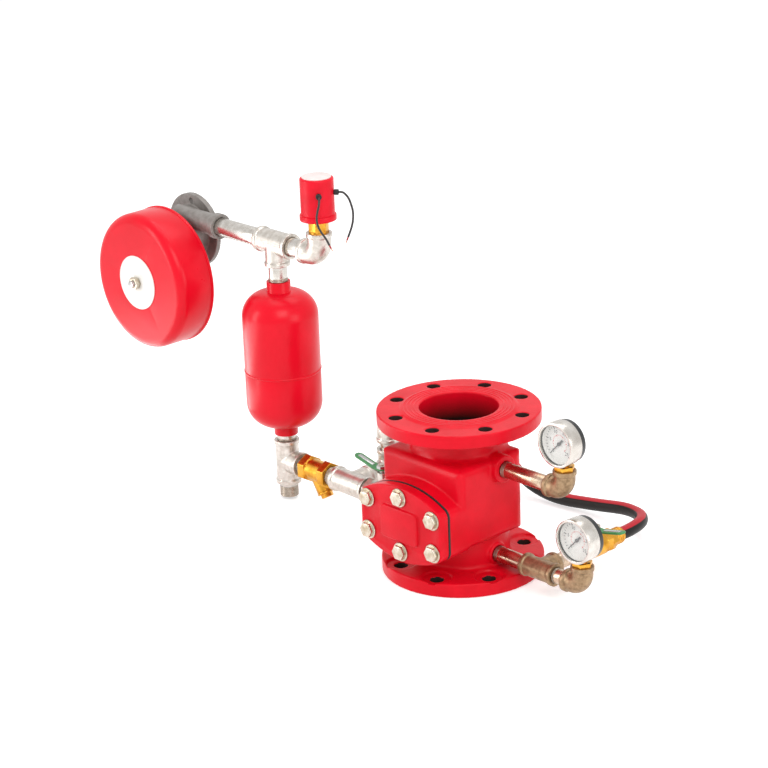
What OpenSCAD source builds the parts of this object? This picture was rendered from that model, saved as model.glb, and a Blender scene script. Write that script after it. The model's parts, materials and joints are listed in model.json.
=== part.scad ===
// Wet sprinkler alarm valve with its alarm line, retard chamber, pressure switch and water motor gong.
// The valve axis is Z and the origin is the centre of the lower flange face; the access cover faces -Y.

/* [Valve body] */
// Height over the two flange faces
body_h = 230; // [225:1:260]
// Flange diameter
flange_d = 220; // [214:1:230]
// Flange thickness
flange_t = 20; // [17:1:22]
// Bolt circle diameter of both flanges
bolt_circle_d = 180; // [176:1:184]
// Flange bolt hole diameter
bolt_hole_d = 18; // [14:1:20]
// Bolt holes in each flange
bolt_holes = 8; // [4:4:12]
// Spot face diameter round each lower bolt hole
spot_d = 40; // [30:1:44]
// Spot face depth
spot_depth = 3.5; // [1:0.5:5]
// Raised face diameter of the upper flange
raised_face_d = 156; // [140:1:158]
// Raised face height
raised_face_h = 2; // [1:0.5:3]
// Sealing grooves in the raised face
face_grooves = 3; // [1:1:4]
// Waterway bore at the lower flange
inlet_bore_d = 104; // [96:1:108]
// Waterway bore at the upper flange
outlet_bore_d = 106; // [102:1:110]
// Round neck diameter
neck_d = 128; // [124:1:134]
// Chamber box width along X
box_w = 150; // [148:1:156]
// Distance from the valve axis to the front wall
box_front = 75; // [73:1:80]
// Distance from the valve axis to the back wall
box_back = 48; // [46:1:60]
// Height of the box underside
box_base_z = 62; // [58:1:64]
// Height of the box top
box_top_z = 175; // [172:1:182]
// Rounding of the back corners
back_corner_r = 20; // [10:1:24]
// Rounding of the other box edges
edge_r = 10; // [5:1:14]
// Wall thickness of the chamber
body_wall = 10; // [8:0.5:10]
// Wall thickness of the round part of the chamber
neck_wall = 8; // [7:0.5:8]

/* [Access cover] */
// Height of the cover centre
cover_z = 94.5; // [93:0.5:97]
// Cover width
cover_w = 150; // [146:1:152]
// Cover height at its middle
cover_h = 105; // [100:1:108]
// Radius of the arched upper and lower edges
arch_r = 145; // [130:1:170]
// Corner radius of the cover
cover_corner_r = 13; // [8:1:15]
// Depth of the pad on the body
pad_t = 20; // [16:1:24]
// Gasket thickness
gasket_t = 3; // [1:0.5:4]
// Cover plate thickness
cover_t = 16; // [12:1:20]
// Raised panel width on the cover
panel_w = 70; // [50:1:84]
// Raised panel height on the cover
panel_h = 46; // [36:1:50]
// Raised panel thickness
panel_t = 4; // [2:0.5:6]
// Cover bolt diameter
cover_bolt_d = 12; // [8:1:14]
// Width across flats of the cover bolts
cover_bolt_af = 19; // [16:1:20]
// Head height of the cover bolts
cover_bolt_head = 7.5; // [5:0.5:9]
// Half spacing of the side bolts along X
side_bolt_x = 61; // [58:0.5:62]
// Half spacing of the side bolts along Z
side_bolt_z = 23; // [18:0.5:25]
// Half spacing of the middle bolts along Z
mid_bolt_z = 38.5; // [36:0.5:40]
// Access opening width
opening_w = 84; // [70:1:90]
// Access opening height
opening_h = 40; // [34:1:44]

/* [Clapper] */
// Seat ring outer diameter
seat_ring_d = 100; // [98:1:102]
// Seat ring wall thickness
seat_wall = 9; // [8:0.5:11]
// Height of the chamber floor
floor_z = 74; // [72:1:76]
// Depth of the seat ring in the floor
seat_sink = 10; // [8:1:11]
// Height of the seat ring above the floor
seat_rise = 8; // [6:1:10]
// Edge of the seat ring beyond the clapper
clapper_inset = 4; // [3.5:0.5:5]
// Clapper plate thickness
clapper_t = 8; // [6:1:10]
// Clapper facing thickness
facing_t = 5; // [4:0.5:6]
// Distance from the valve axis to the hinge pin
hinge_x = 55; // [54.5:0.5:56]
// Hinge pin diameter
hinge_pin_d = 9; // [7:0.5:10]
// Width of each hinge lug
lug_w = 10; // [8:1:11]

/* [Gauge lines] */
// Outside diameter of the small pipe
small_od = 21.3; // [20:0.1:22]
// Bore of the small pipe
small_bore = 16; // [12:0.5:17]
// Centre to end of the small fittings
small_reach = 28; // [27:0.5:30]
// Height of the upper gauge line
upper_line_z = 161; // [155:1:163]
// Distance of the upper gauge from the valve axis
upper_gauge_x = 190; // [150:1:210]
// Height of the lower gauge line
lower_line_z = 36; // [36:1:38]
// Distance of the test tee from the valve axis
test_tee_x = 145; // [142:1:150]
// Distance of the lower gauge from the valve axis
lower_gauge_x = 219; // [214:1:230]
// Gauge diameter over its bezel
gauge_d = 60; // [56:1:63]
// Gauge depth
gauge_depth = 28; // [26:1:32]
// Gauge axis height above its line
gauge_rise = 66; // [65:1:75]

/* [Test line] */
// Distance of the test valve from the gauge line
test_valve_y = 106; // [100:1:110]
// Half length of the test valve
test_valve_half = 22; // [21:0.5:24]
// Length of the hose tails beyond their fittings
tail_l = 27; // [24:1:34]
// Hose diameter
hose_d = 18; // [15:0.5:18.5]

/* [Alarm line] */
// Outside diameter of the large pipe
large_od = 26.7; // [26:0.1:28]
// Bore of the large pipe
large_bore = 21; // [16:0.5:22]
// Centre to end of the large fittings
large_reach = 33; // [32:0.5:35]
// Height of the alarm line
alarm_z = 58; // [54:1:60]
// Distance of the alarm control valve from the valve axis
alarm_valve_x = 156; // [150:1:157]
// Half length of the alarm control valve
alarm_valve_half = 27; // [26:0.5:28]
// Distance of the alarm tee from the valve axis
alarm_tee_x = 219; // [217:1:222]
// Distance of the strainer from the valve axis
strainer_x = 290; // [287:1:292]
// Strainer length
strainer_l = 54; // [52:1:58]
// Distance of the chamber axis from the valve axis
chamber_x = 357; // [355:1:372]
// Distance of the riser from the alarm line
riser_y = 73; // [68:1:80]
// Height of the hose outlet
riser_z = 135; // [128:1:145]

/* [Retard chamber] */
// Chamber diameter
chamber_d = 109; // [100:1:115]
// Chamber height without its necks
chamber_h = 200; // [180:1:220]
// Chamber wall thickness
chamber_wall = 2.5; // [2:0.5:4]
// Shoulder radius of the domes
shoulder_r = 36; // [24:1:38]
// Length of each neck
chamber_neck_l = 15; // [12:1:20]
// Outside diameter of each neck
chamber_neck_d = 34; // [33:0.5:40]
// Height of the lap seam above the chamber underside
seam_h = 84; // [70:1:110]

/* [Pressure switch] */
// Distance of the switch axis from the chamber axis
switch_offset = 92; // [88:1:105]
// Housing diameter
switch_d = 47; // [44:1:52]
// Housing height
switch_h = 52; // [44:1:60]
// Rim diameter of the base
switch_rim_d = 51; // [49:1:56]
// Rim height of the base
switch_rim_h = 8; // [5:1:10]
// Height of the hex neck
switch_neck_l = 18; // [14:1:22]

/* [Water motor gong] */
// Distance of the gong axis from the chamber axis
gong_offset = 217; // [212:1:230]
// Drop of the turbine axis below the pipe axis
turbine_drop = 28; // [26:1:29]
// Drop of the bell axis below the turbine axis
bell_drop = 55; // [54:0.5:55.5]
// Wall plate diameter
plate_d = 110; // [106:1:120]
// Wall plate bolt circle
plate_circle_d = 88; // [88:1:94]
// Wall plate hole diameter
plate_hole_d = 9; // [6:0.5:10]
// Turbine drum diameter
drum_d = 76; // [74:1:76]
// Inlet tube length beyond the drum
inlet_l = 58; // [52:1:62]
// Inlet tube wall thickness
inlet_wall = 2.2; // [2:0.1:3]
// Bell diameter
bell_d = 200; // [199:1:206]
// Bell depth
bell_depth = 60; // [56:1:61]
// Bell edge radius
bell_edge_r = 15; // [12:1:20]
// Bell wall thickness
bell_wall = 3; // [2:0.5:4]
// Front face of the bell ahead of the pipe axis
bell_front = 84; // [83:1:88]
// Trim disc diameter
disc_d = 80; // [60:1:90]
// Striker reach from its shaft
striker_reach = 41; // [38:0.5:41.5]

/* [Fits] */
// Radial play of fixed joints
fixed_play = 0.05; // [0.02:0.01:0.1]
// Radial play of running fits
run_play = 0.06; // [0.03:0.01:0.1]
// Gap between moving and fixed faces
face_gap = 0.3; // [0.2:0.05:0.5]

/* [Hidden] */
$fn = 64;
// Small overlap that lets a cut pass a face
cut = 1;

// Valve body
half_w = box_w / 2;
body_d = box_front + box_back;
body_mid_y = (box_back - box_front) / 2;
ceiling_z = box_top_z - body_wall;
seat_bore_d = seat_ring_d - 2 * seat_wall;
clapper_d = seat_ring_d - 2 * clapper_inset;
seat_top_z = floor_z + seat_rise;
seat_base_z = floor_z - seat_sink;
throat_h = 4;
throat_cone_h = 16;
inlet_bore_h = seat_base_z - throat_h - throat_cone_h;
lower_fillet_r = 5;
upper_fillet_r = 8;
port_boss_d = 38;
upper_boss_h = 9;
lower_boss_h = 4;
alarm_boss_h = 4;
upper_boss_x = half_w + upper_boss_h;
lower_boss_x = neck_d / 2 + lower_boss_h;
alarm_boss_d = 44;
alarm_port_d = 8;
alarm_boss_x = half_w + alarm_boss_h;
small_thread = 12;
large_thread = 14;
small_valve_thread = 9;
large_valve_thread = 10;
// Added to a pipe diameter by the wall of a fitting and by its end band
fitting_wall = 7;
fitting_band_wall = 10;
band_w = 6;
// Gap that a pipe end leaves at the bottom of its socket
thread_gap = 1;
small_grip = small_thread - thread_gap;
large_grip = large_thread - thread_gap;
small_valve_grip = small_valve_thread - thread_gap;
large_valve_grip = large_valve_thread - thread_gap;
groove_w = 1.5;
groove_depth = 0.8;
groove_pitch = 7;

// Cover stack
pad_y = -box_front - pad_t;
gasket_y = pad_y - gasket_t;
cover_y = gasket_y - cover_t;
pad_sink = 4;
pad_root_y = -neck_d / 2 + pad_sink;
arch_sink = arch_r - cover_h / 2;
panel_r = 8;
opening_r = 12;
sill_h = 2;
bolt_sink = 16;
bolt_hole_play = 0.5;
cover_bolt_places = [
    [-side_bolt_x, side_bolt_z], [side_bolt_x, side_bolt_z], [-side_bolt_x, -side_bolt_z],
    [side_bolt_x, -side_bolt_z], [0, mid_bolt_z], [0, -mid_bolt_z]];

// Clapper stack
facing_z = seat_top_z + face_gap;
plate_z = facing_z + facing_t;
clapper_top_z = plate_z + clapper_t;
hinge_rise = 3;
lug_wall = 3;
hinge_z = plate_z + hinge_rise;
lug_r = hinge_pin_d / 2 + lug_wall;
lug_y = 13;
body_lug_y = lug_y + lug_w + face_gap;
facing_lap = 3;
facing_bore_d = seat_bore_d - 2 * facing_lap;
retainer_t = 4;
retainer_screw_d = 10;
retainer_head_t = 4;

// Pipe positions along X
upper_elbow_end = upper_gauge_x - small_reach;
test_tee_in = test_tee_x - small_reach;
test_tee_out = test_tee_x + small_reach;
lower_elbow_end = lower_gauge_x - small_reach;
valve_right = -alarm_valve_x + alarm_valve_half;
valve_left = -alarm_valve_x - alarm_valve_half;
tee_right = -alarm_tee_x + large_reach;
tee_left = -alarm_tee_x - large_reach;
strainer_right = -strainer_x + strainer_l / 2;
strainer_left = -strainer_x - strainer_l / 2;
drain_tee_end = -chamber_x + large_reach;

// Alarm column along Z
lower_gap = 9;
upper_gap = 23;
chamber_z = alarm_z + large_reach + lower_gap + chamber_neck_l;
chamber_top_z = chamber_z + chamber_h;
upper_neck_z = chamber_top_z + chamber_neck_l;
gong_line_z = upper_neck_z + upper_gap + large_reach;
drain_end_z = 4;
drain_thread_step = 0.35;
drain_thread_d = large_od - 2 * drain_thread_step;
drain_thread_l = 16;
lap_l = 12;

// Gauges
gauge_front_y = -18;
lip_t = 3;
lens_t = 2;
bezel_l = 20;
bezel_lip = 2;
case_wall = 2;
bezel_wall = 1.5;
dial_sink = 5;
case_r = gauge_d / 2 - bezel_wall;
case_front_y = gauge_front_y + lip_t + lens_t;
case_back_y = gauge_front_y + gauge_depth;
dial_y = case_front_y + dial_sink;
dial_t = 1;
shank_d = 12;
arbor_d = 2.4;
needle_t = 0.8;
needle_gap = 1.5;
needle_rest = 135;
bushing_af = 24;
bushing_head = 6;

// Ball valves
small_ball_d = 22;
large_ball_d = 28;
stem_d = 8;
tang_w = 4;
small_lever_rise = 22;
large_lever_rise = 38;
lever_t = 3;
lever_gap = 3;
lever_l = 52;
lever_w = 14;
lever_tilt = 13;

// Test line along Y
test_valve_near = test_valve_y - test_valve_half;
test_valve_far = test_valve_y + test_valve_half;
test_tail_end = test_valve_far + tail_l;
riser_elbow_end = riser_y + large_reach;
riser_tail_extra = 8;
riser_tail_end = riser_elbow_end + tail_l + riser_tail_extra;
ferrule_d = 22;

// Strainer
strainer_leg_d = 24;
strainer_leg_l = 32;
strainer_leg_shift = 4;
strainer_lean = 32;
strainer_thread = 12;
strainer_grip = strainer_thread - thread_gap;
screen_d = 16;
screen_wall = 1;
screen_start = 8;
strainer_hex_l = 13;
strainer_hex_af = large_od + 8;
strainer_barrel_d = large_od + 5;
strainer_rim_t = 3;
strainer_rim_d = strainer_leg_d + 1;
strainer_cap_af = strainer_leg_d - 8;
strainer_cap_h = 6;

// Switch
switch_x = -chamber_x + switch_offset;
switch_neck_z = gong_line_z + large_reach;
switch_base_z = switch_neck_z + switch_neck_l;
switch_body_z = switch_base_z + switch_rim_h;
switch_top_z = switch_body_z + switch_h;
switch_wall = 2;
neck_af = 25;
switch_edge_r = 2.5;
cap_margin = 0.5;
cap_d = switch_d - 2 * (switch_edge_r + cap_margin);
cap_t = 1.5;
grommet_d = 8;
grommet_l = 6;
grommet_h = 31;
grommet_z = switch_body_z + grommet_h;
grommet_angles = [-atan2(3, 4), atan2(3, 4)];
lead_d = 3;

// Gong
gong_x = -chamber_x - gong_offset;
turbine_z = gong_line_z - turbine_drop;
bell_z = turbine_z - bell_drop;
inlet_d = large_od + 2 * inlet_wall;
inlet_band_wall = 3;
inlet_band_d = inlet_d + 2 * inlet_band_wall;
inlet_end_x = gong_x + drum_d / 2 + inlet_l;
inlet_band_l = 12;
inlet_tail = 4;
inlet_tail_x = gong_x - inlet_tail;
plate_back_y = 32;
plate_t = 8;
drum_wall = 6;
drum_front_y = -16;
drum_floor = 4;
shaft_sink = 4;
wheel_gap = 4;
wheel_clear = 1.5;
striker_ahead = 14;
drum_back_y = plate_back_y - plate_t - drum_floor;
motor_cover_t = 6;
motor_cover_y = drum_front_y - motor_cover_t;
arm_w = 24;
arm_t = 8;
arm_y = motor_cover_y - arm_t;
shaft_d = 8;
shaft_back_y = plate_back_y - shaft_sink;
wheel_d = drum_d - 2 * (drum_wall + wheel_clear);
wheel_front_y = drum_front_y + wheel_gap;
wheel_back_y = drum_back_y - wheel_gap;
wheel_buckets = 12;
striker_y = arm_y - striker_ahead;
striker_t = 14;
hammer_d = 14;
post_d = 16;
post_stud_d = 10;
disc_t = 1.5;
nut_af = 17;
nut_t = 8;
motor_screw_d = 5;
motor_screw_count = 4;
motor_screw_r = drum_d / 2 - drum_wall / 2;
nozzle_d = 8;

// Route of the test hose, from the test tail round the back of the body to the riser tail
hose_route = [
    [145, 155, 36], [145, 161, 36], [145, 172, 36], [143, 188, 36], [138, 204, 35], [129, 218, 33],
    [116, 230, 31], [99, 238, 29], [80, 242, 27], [60, 243, 24], [35, 242, 20], [5, 240, 16],
    [-25, 237, 13], [-50, 234, 13], [-73, 231, 17], [-94, 228, 25], [-113, 226, 37], [-131, 224, 52],
    [-148, 221, 68], [-164, 217, 84], [-179, 210, 98], [-192, 200, 110], [-203, 188, 120],
    [-211, 175, 127.5], [-216, 163, 132], [-218.4, 153, 134.3], [-219, 144, 135], [-219, 141, 135]];
// Routes of the two switch leads, from their grommets down to their bare ends
front_lead_route = [
    [-241, -18, 476], [-237, -21, 476], [-234, -24, 473], [-233, -26, 467], [-234, -28, 459],
    [-235, -29, 449], [-234, -28, 439], [-231, -25, 430], [-227, -21, 421], [-224, -18, 412]];
side_lead_route = [
    [-241, 18, 476], [-237, 21, 476], [-234, 24, 473], [-231, 27, 467], [-229, 29, 459],
    [-228, 31, 449], [-228, 31, 439], [-229, 30, 430], [-231, 28, 421], [-234, 26, 412]];

function unit(v) = v / norm(v);

function heading(route, i) = unit(route[min(i + 1, len(route) - 1)] - route[max(i - 1, 0)]);

function ring_at(route, i, r, sides, side_ref) =
    let (t = heading(route, i), n = unit(cross(side_ref, t)), b = cross(t, n))
    [for (k = [0 : sides - 1]) route[i] + r * (cos(360 * k / sides) * n + sin(360 * k / sides) * b)];

// Tube of a cord, swept along the points of its route
module swept_tube(route, d, sides, side_ref) {
    last = len(route) - 1;
    points = [for (i = [0 : last]) each ring_at(route, i, d / 2, sides, side_ref)];
    walls = [for (i = [0 : last - 1], k = [0 : sides - 1])
        let (next = (k + 1) % sides)
        [i * sides + k, (i + 1) * sides + k, (i + 1) * sides + next, i * sides + next]];
    start_cap = [for (k = [0 : sides - 1]) k];
    end_cap = [for (k = [sides - 1 : -1 : 0]) last * sides + k];
    polyhedron(points, concat([start_cap], walls, [end_cap]));
}

// Turns a shape made along Z so that it points along +X
module along_x() {
    rotate([0, 90, 0]) children();
}

// Turns a shape made along Z so that it points along +Y
module along_y() {
    rotate([-90, 0, 0]) children();
}

// Turns a shape made along Z so that it points along -Y
module along_minus_y() {
    rotate([90, 0, 0]) children();
}

// Hexagonal bar by its width across flats
module hex_bar(af, h) {
    cylinder(h = h, d = af / cos(30), $fn = 6);
}

// Tube along Z
module tube(od, bore, z0, z1) {
    difference() {
        translate([0, 0, z0]) cylinder(h = z1 - z0, d = od);
        translate([0, 0, z0 - cut]) cylinder(h = z1 - z0 + 2 * cut, d = bore);
    }
}

// Rectangle with rounded corners, centred
module round_rect(w, h, r) {
    square([w - 2 * r, h], center = true);
    square([w, h - 2 * r], center = true);
    for (sx = [-1, 1], sy = [-1, 1])
        translate([sx * (w / 2 - r), sy * (h / 2 - r)]) circle(r);
}

// Half section of a round can of height h whose upper edge is rounded
module can_section(r, h, edge) {
    square([r - edge, h]);
    square([r, h - edge]);
    intersection() {
        translate([r - edge, h - edge]) circle(edge);
        square([r, h]);
    }
}

// Half section of a thin can that is open below
module can_shell(r, h, edge, wall) {
    difference() {
        can_section(r, h, edge);
        translate([0, -cut]) can_section(r - wall, h - wall + cut, edge - wall);
    }
}

// Outline of the access cover: straight sides, arched edges and round corners
module cover_outline() {
    corner_x = cover_w / 2 - cover_corner_r;
    inner_r = arch_r - cover_corner_r;
    corner_z = sqrt(inner_r * inner_r - corner_x * corner_x) - arch_sink;
    tangent_x = corner_x * arch_r / inner_r;
    intersection() {
        translate([0, -arch_sink]) circle(arch_r, $fn = 128);
        translate([0, arch_sink]) circle(arch_r, $fn = 128);
        square([2 * tangent_x, cover_h + cut], center = true);
    }
    square([cover_w, 2 * corner_z], center = true);
    for (sx = [-1, 1], sz = [-1, 1])
        translate([sx * corner_x, sz * corner_z]) circle(cover_corner_r);
}

// Plate in the XZ plane with a given outline, from y0 to y1
module front_plate(y0, y1) {
    translate([0, y1, cover_z]) along_minus_y() linear_extrude(y1 - y0) children();
}

// Holes of the cover bolts, as round bars from y0 to y1
module cover_bolt_bars(d, y0, y1) {
    for (p = cover_bolt_places)
        translate([p[0], y1, cover_z + p[1]]) along_minus_y() cylinder(h = y1 - y0, d = d);
}

// Threaded socket cut along Z, from the mouth at z = 0 downwards
module socket_cut(od, depth) {
    translate([0, 0, -depth]) cylinder(h = depth + cut, d = od + 2 * fixed_play);
}

// Body of a pipe fitting leg along Z with its end band
module fitting_leg(od, reach) {
    cylinder(h = reach, d = od + fitting_wall);
    translate([0, 0, reach]) fitting_band(od);
}

// Band round the mouth of a fitting leg, below z = 0
module fitting_band(od) {
    translate([0, 0, -band_w]) cylinder(h = band_w, d = od + fitting_band_wall);
}

// Bore of a fitting leg along Z with its socket
module fitting_bore(od, bore, reach, depth) {
    cylinder(h = reach, d = bore);
    translate([0, 0, reach]) socket_cut(od, depth);
}

// Tee with its run along X and its branch along +Z
module pipe_tee(od, bore, reach, depth) {
    difference() {
        union() {
            for (turn = [-90, 0, 90])
                rotate([0, turn, 0]) fitting_leg(od, reach);
        }
        for (turn = [-90, 0, 90])
            rotate([0, turn, 0]) fitting_bore(od, bore, reach, depth);
    }
}

// Elbow with one leg along +X and the other along +Z
module pipe_elbow(od, bore, reach, depth) {
    bend_r = od / 2 + 6;
    difference() {
        union() {
            elbow_run(od + fitting_wall, bend_r, reach);
            for (turn = [0, 90])
                rotate([0, turn, 0]) translate([0, 0, reach]) fitting_band(od);
        }
        elbow_run(bore, bend_r, reach + cut);
        for (turn = [0, 90])
            rotate([0, turn, 0]) translate([0, 0, reach]) socket_cut(od, depth);
    }
}

// Round bar of an elbow: two straight legs joined by a quarter bend
module elbow_run(d, bend_r, reach) {
    translate([bend_r, 0, bend_r]) rotate([90, 0, 0]) rotate([0, 0, 180])
        rotate_extrude(angle = 90) translate([bend_r, 0]) circle(d / 2);
    translate([0, 0, bend_r]) cylinder(h = reach - bend_r, d = d);
    translate([bend_r, 0, 0]) along_x() cylinder(h = reach - bend_r, d = d);
}

// Ball valve body with its flow along X and its stem along +Z
module ball_valve_body(od, bore, half, ball_d, depth, stem_top) {
    barrel_d = ball_d + 9;
    cavity_d = ball_d + 2 * face_gap;
    hex_l = 11;
    difference() {
        union() {
            for (turn = [-90, 90])
                rotate([0, turn, 0]) translate([0, 0, half - hex_l]) hex_bar(od + fitting_wall, hex_l);
            translate([-half + hex_l - cut, 0, 0]) along_x()
                cylinder(h = 2 * (half - hex_l + cut), d = barrel_d);
            cylinder(h = stem_top, d = stem_d + fitting_wall);
        }
        translate([0, 0, -cavity_d / 2]) cylinder(h = cavity_d, d = cavity_d);
        for (turn = [-90, 90])
            rotate([0, turn, 0]) fitting_bore(od, bore, half, depth);
        cylinder(h = stem_top + cut, d = stem_d + 2 * run_play);
    }
}

// Ball with its bore along X and the slot for the stem on top
module valve_ball(d, bore) {
    difference() {
        sphere(d = d);
        translate([-d, 0, 0]) along_x() cylinder(h = 2 * d, d = bore);
        translate([-d, -tang_w / 2 - fixed_play, d / 2 - 2]) cube([2 * d, tang_w + 2 * fixed_play, d]);
    }
}

// Stem with its tang in the ball and a nut above the lever
module valve_stem(ball_d, lever_z) {
    tang_h = 3;
    nut_h = 5;
    thread_d = stem_d - 2;
    intersection() {
        translate([-stem_d, -tang_w / 2, ball_d / 2 - 2]) cube([2 * stem_d, tang_w, tang_h]);
        cylinder(h = ball_d, d = stem_d);
    }
    translate([0, 0, ball_d / 2 + 1]) cylinder(h = lever_z - ball_d / 2 - 1, d = stem_d);
    translate([0, 0, lever_z]) cylinder(h = lever_t + nut_h, d = thread_d);
    translate([0, 0, lever_z + lever_t]) hex_bar(stem_d + 5, nut_h - 1);
}

// Hand lever along +X from its stem, cranked up beyond the hub
module valve_lever(lever_z) {
    hub_l = 12;
    rise = tan(lever_tilt) * (lever_l - hub_l);
    difference() {
        intersection() {
            translate([0, lever_w, lever_z]) along_minus_y() linear_extrude(2 * lever_w)
                polygon([[-hub_l, 0], [hub_l, 0], [lever_l, rise], [lever_l, rise + lever_t],
                    [hub_l, lever_t], [-hub_l, lever_t]]);
            linear_extrude(lever_z + rise + 2 * lever_t) {
                circle(d = lever_w);
                translate([0, -lever_w / 2]) square([lever_l - lever_w / 2, lever_w]);
                translate([lever_l - lever_w / 2, 0]) circle(d = lever_w);
            }
        }
        cylinder(h = 2 * lever_z, d = stem_d - 2 + 2 * fixed_play);
    }
}

// Hose tail along Z from the face of its fitting: thread below, hexagon and crimped shell above
module hose_tail(od, thread, length) {
    hex_l = 10;
    shell_l = length - hex_l;
    difference() {
        union() {
            translate([0, 0, -thread + thread_gap]) cylinder(h = thread, d = od);
            hex_bar(od + 5, hex_l);
            translate([0, 0, hex_l]) cylinder(h = shell_l, d = ferrule_d);
            for (step = [1 : 3])
                translate([0, 0, hex_l + step * shell_l / 4 - 1]) cylinder(h = 3, d = ferrule_d + 1.6);
        }
        translate([0, 0, -thread - cut]) cylinder(h = length + thread, d = hose_d / 2);
    }
}

// Places both gauges: children are made round the gauge axis at the height of the line
module at_gauges() {
    translate([upper_gauge_x, 0, upper_line_z]) children();
    translate([lower_gauge_x, 0, lower_line_z]) children();
}

// Disc or ring round the gauge axis between two depths
module gauge_disc(r, y0, y1) {
    translate([0, y1, gauge_rise]) along_minus_y() cylinder(h = y1 - y0, r = r);
}

// Needle with its arbor at a gauge, resting at the lower left of the dial
module gauge_needle() {
    needle_l = case_r - 9;
    y_front = dial_y - needle_gap - needle_t;
    translate([0, y_front + needle_t, gauge_rise]) along_minus_y() rotate([0, 0, needle_rest])
        linear_extrude(needle_t)
            polygon([[-1.4, -8], [1.4, -8], [0.9, 0], [0.3, needle_l], [-0.3, needle_l], [-0.9, 0]]);
    gauge_disc(2.5, y_front - 0.6, y_front + needle_t);
    gauge_disc(arbor_d / 2, y_front, dial_y + 8);
}

// Places a piece of the switch by the angle of its grommet
module at_grommets() {
    for (turn = grommet_angles)
        translate([switch_x, 0, grommet_z]) rotate([0, 0, turn]) along_x() children();
}

// Disc round the turbine axis between two depths
module motor_disc(d, y0, y1) {
    translate([gong_x, y1, turbine_z]) along_minus_y() cylinder(h = y1 - y0, d = d);
}

// Places a shape made along Z at the bell axis, pointing forwards from depth y
module at_bell(y) {
    translate([gong_x, y, bell_z]) along_minus_y() children();
}

// Bars round the turbine axis for the motor screws
module motor_screw_bars(d, y0, y1) {
    for (k = [0 : motor_screw_count - 1])
        translate([gong_x, y1, turbine_z]) along_minus_y() rotate([0, 0, 45 + 360 * k / motor_screw_count])
            translate([motor_screw_r, 0, 0]) cylinder(h = y1 - y0, d = d);
}

// Solid outside of the valve body
module body_outside() {
    cylinder(h = flange_t, d = flange_d, $fn = 128);
    translate([0, 0, body_h - flange_t]) cylinder(h = flange_t - raised_face_h, d = flange_d, $fn = 128);
    translate([0, 0, body_h - flange_t]) cylinder(h = flange_t, d = raised_face_d, $fn = 128);
    cylinder(h = body_h - flange_t / 2, d = neck_d);
    body_box();
    translate([0, 0, flange_t]) neck_fillet(lower_fillet_r);
    translate([0, 0, body_h - flange_t]) mirror([0, 0, 1]) neck_fillet(upper_fillet_r);
    intersection() {
        translate([0, 0, box_top_z]) neck_fillet(upper_fillet_r);
        translate([0, body_mid_y, box_top_z - cut]) linear_extrude(upper_fillet_r + 2 * cut)
            round_rect(box_w - 2 * edge_r, body_d - 2 * edge_r, edge_r);
    }
    front_plate(pad_y, pad_root_y) cover_outline();
    translate([0, 0, upper_line_z]) along_x() cylinder(h = upper_boss_x, d = port_boss_d);
    translate([0, 0, lower_line_z]) along_x() cylinder(h = lower_boss_x, d = small_od + 9);
    translate([-alarm_boss_x, 0, alarm_z]) along_x() cylinder(h = alarm_boss_x, d = alarm_boss_d);
}

// Cast fillet round the neck, standing on a face at z = 0
module neck_fillet(r) {
    rotate_extrude() difference() {
        translate([neck_d / 2 - cut, -cut]) square([r + cut, r + cut]);
        translate([neck_d / 2 + r, r]) circle(r);
    }
}

// Box of the body: three crossing prisms with rounded outlines
module body_box() {
    box_h = box_top_z - box_base_z;
    box_mid_z = (box_top_z + box_base_z) / 2;
    intersection() {
        translate([0, body_mid_y, box_base_z]) linear_extrude(box_h) {
            round_rect(box_w, body_d, back_corner_r);
            translate([0, -body_d / 4]) round_rect(box_w, body_d / 2, edge_r);
        }
        translate([0, body_mid_y + body_d / 2, box_mid_z]) along_minus_y() linear_extrude(body_d)
            round_rect(box_w, box_h, edge_r);
        translate([-half_w, body_mid_y, box_mid_z]) rotate([90, 0, 90]) linear_extrude(box_w)
            round_rect(body_d, box_h, edge_r);
    }
}

// Waterway and chamber inside the valve body
module body_inside() {
    translate([0, 0, -cut]) cylinder(h = inlet_bore_h + cut, d = inlet_bore_d);
    translate([0, 0, inlet_bore_h]) cylinder(h = throat_cone_h, d1 = inlet_bore_d, d2 = seat_bore_d);
    translate([0, 0, seat_base_z - throat_h]) cylinder(h = throat_h + cut, d = seat_bore_d);
    translate([0, 0, seat_base_z]) cylinder(h = seat_sink + cut, d = seat_ring_d + 2 * fixed_play);
    translate([0, body_mid_y, floor_z]) linear_extrude(ceiling_z - floor_z)
        round_rect(box_w - 2 * body_wall, body_d - 2 * body_wall, edge_r);
    translate([0, 0, floor_z]) cylinder(h = ceiling_z - floor_z, d = neck_d - 2 * neck_wall);
    translate([0, 0, ceiling_z - cut]) cylinder(h = body_h - ceiling_z + 2 * cut, d = outlet_bore_d);
    front_plate(pad_y - cut, -box_front + body_wall + cut)
        access_opening();
}

// Outline of the access opening, just above the chamber floor
module access_opening() {
    translate([0, floor_z + opening_h / 2 + sill_h - cover_z]) round_rect(opening_w, opening_h, opening_r);
}

// Cast lugs that carry the hinge pin on the right wall of the chamber
module body_lugs() {
    for (side = [-1, 1])
        translate([0, side * (body_lug_y + lug_w / 2) + lug_w / 2, 0]) along_minus_y() linear_extrude(lug_w) {
            translate([hinge_x, hinge_z]) circle(lug_r);
            translate([hinge_x - lug_r, floor_z - cut]) square([2 * lug_r, hinge_z - floor_z + cut]);
            translate([hinge_x, floor_z - cut])
                square([half_w - body_wall - hinge_x + cut, hinge_z + lug_r - floor_z]);
        }
}

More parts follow.
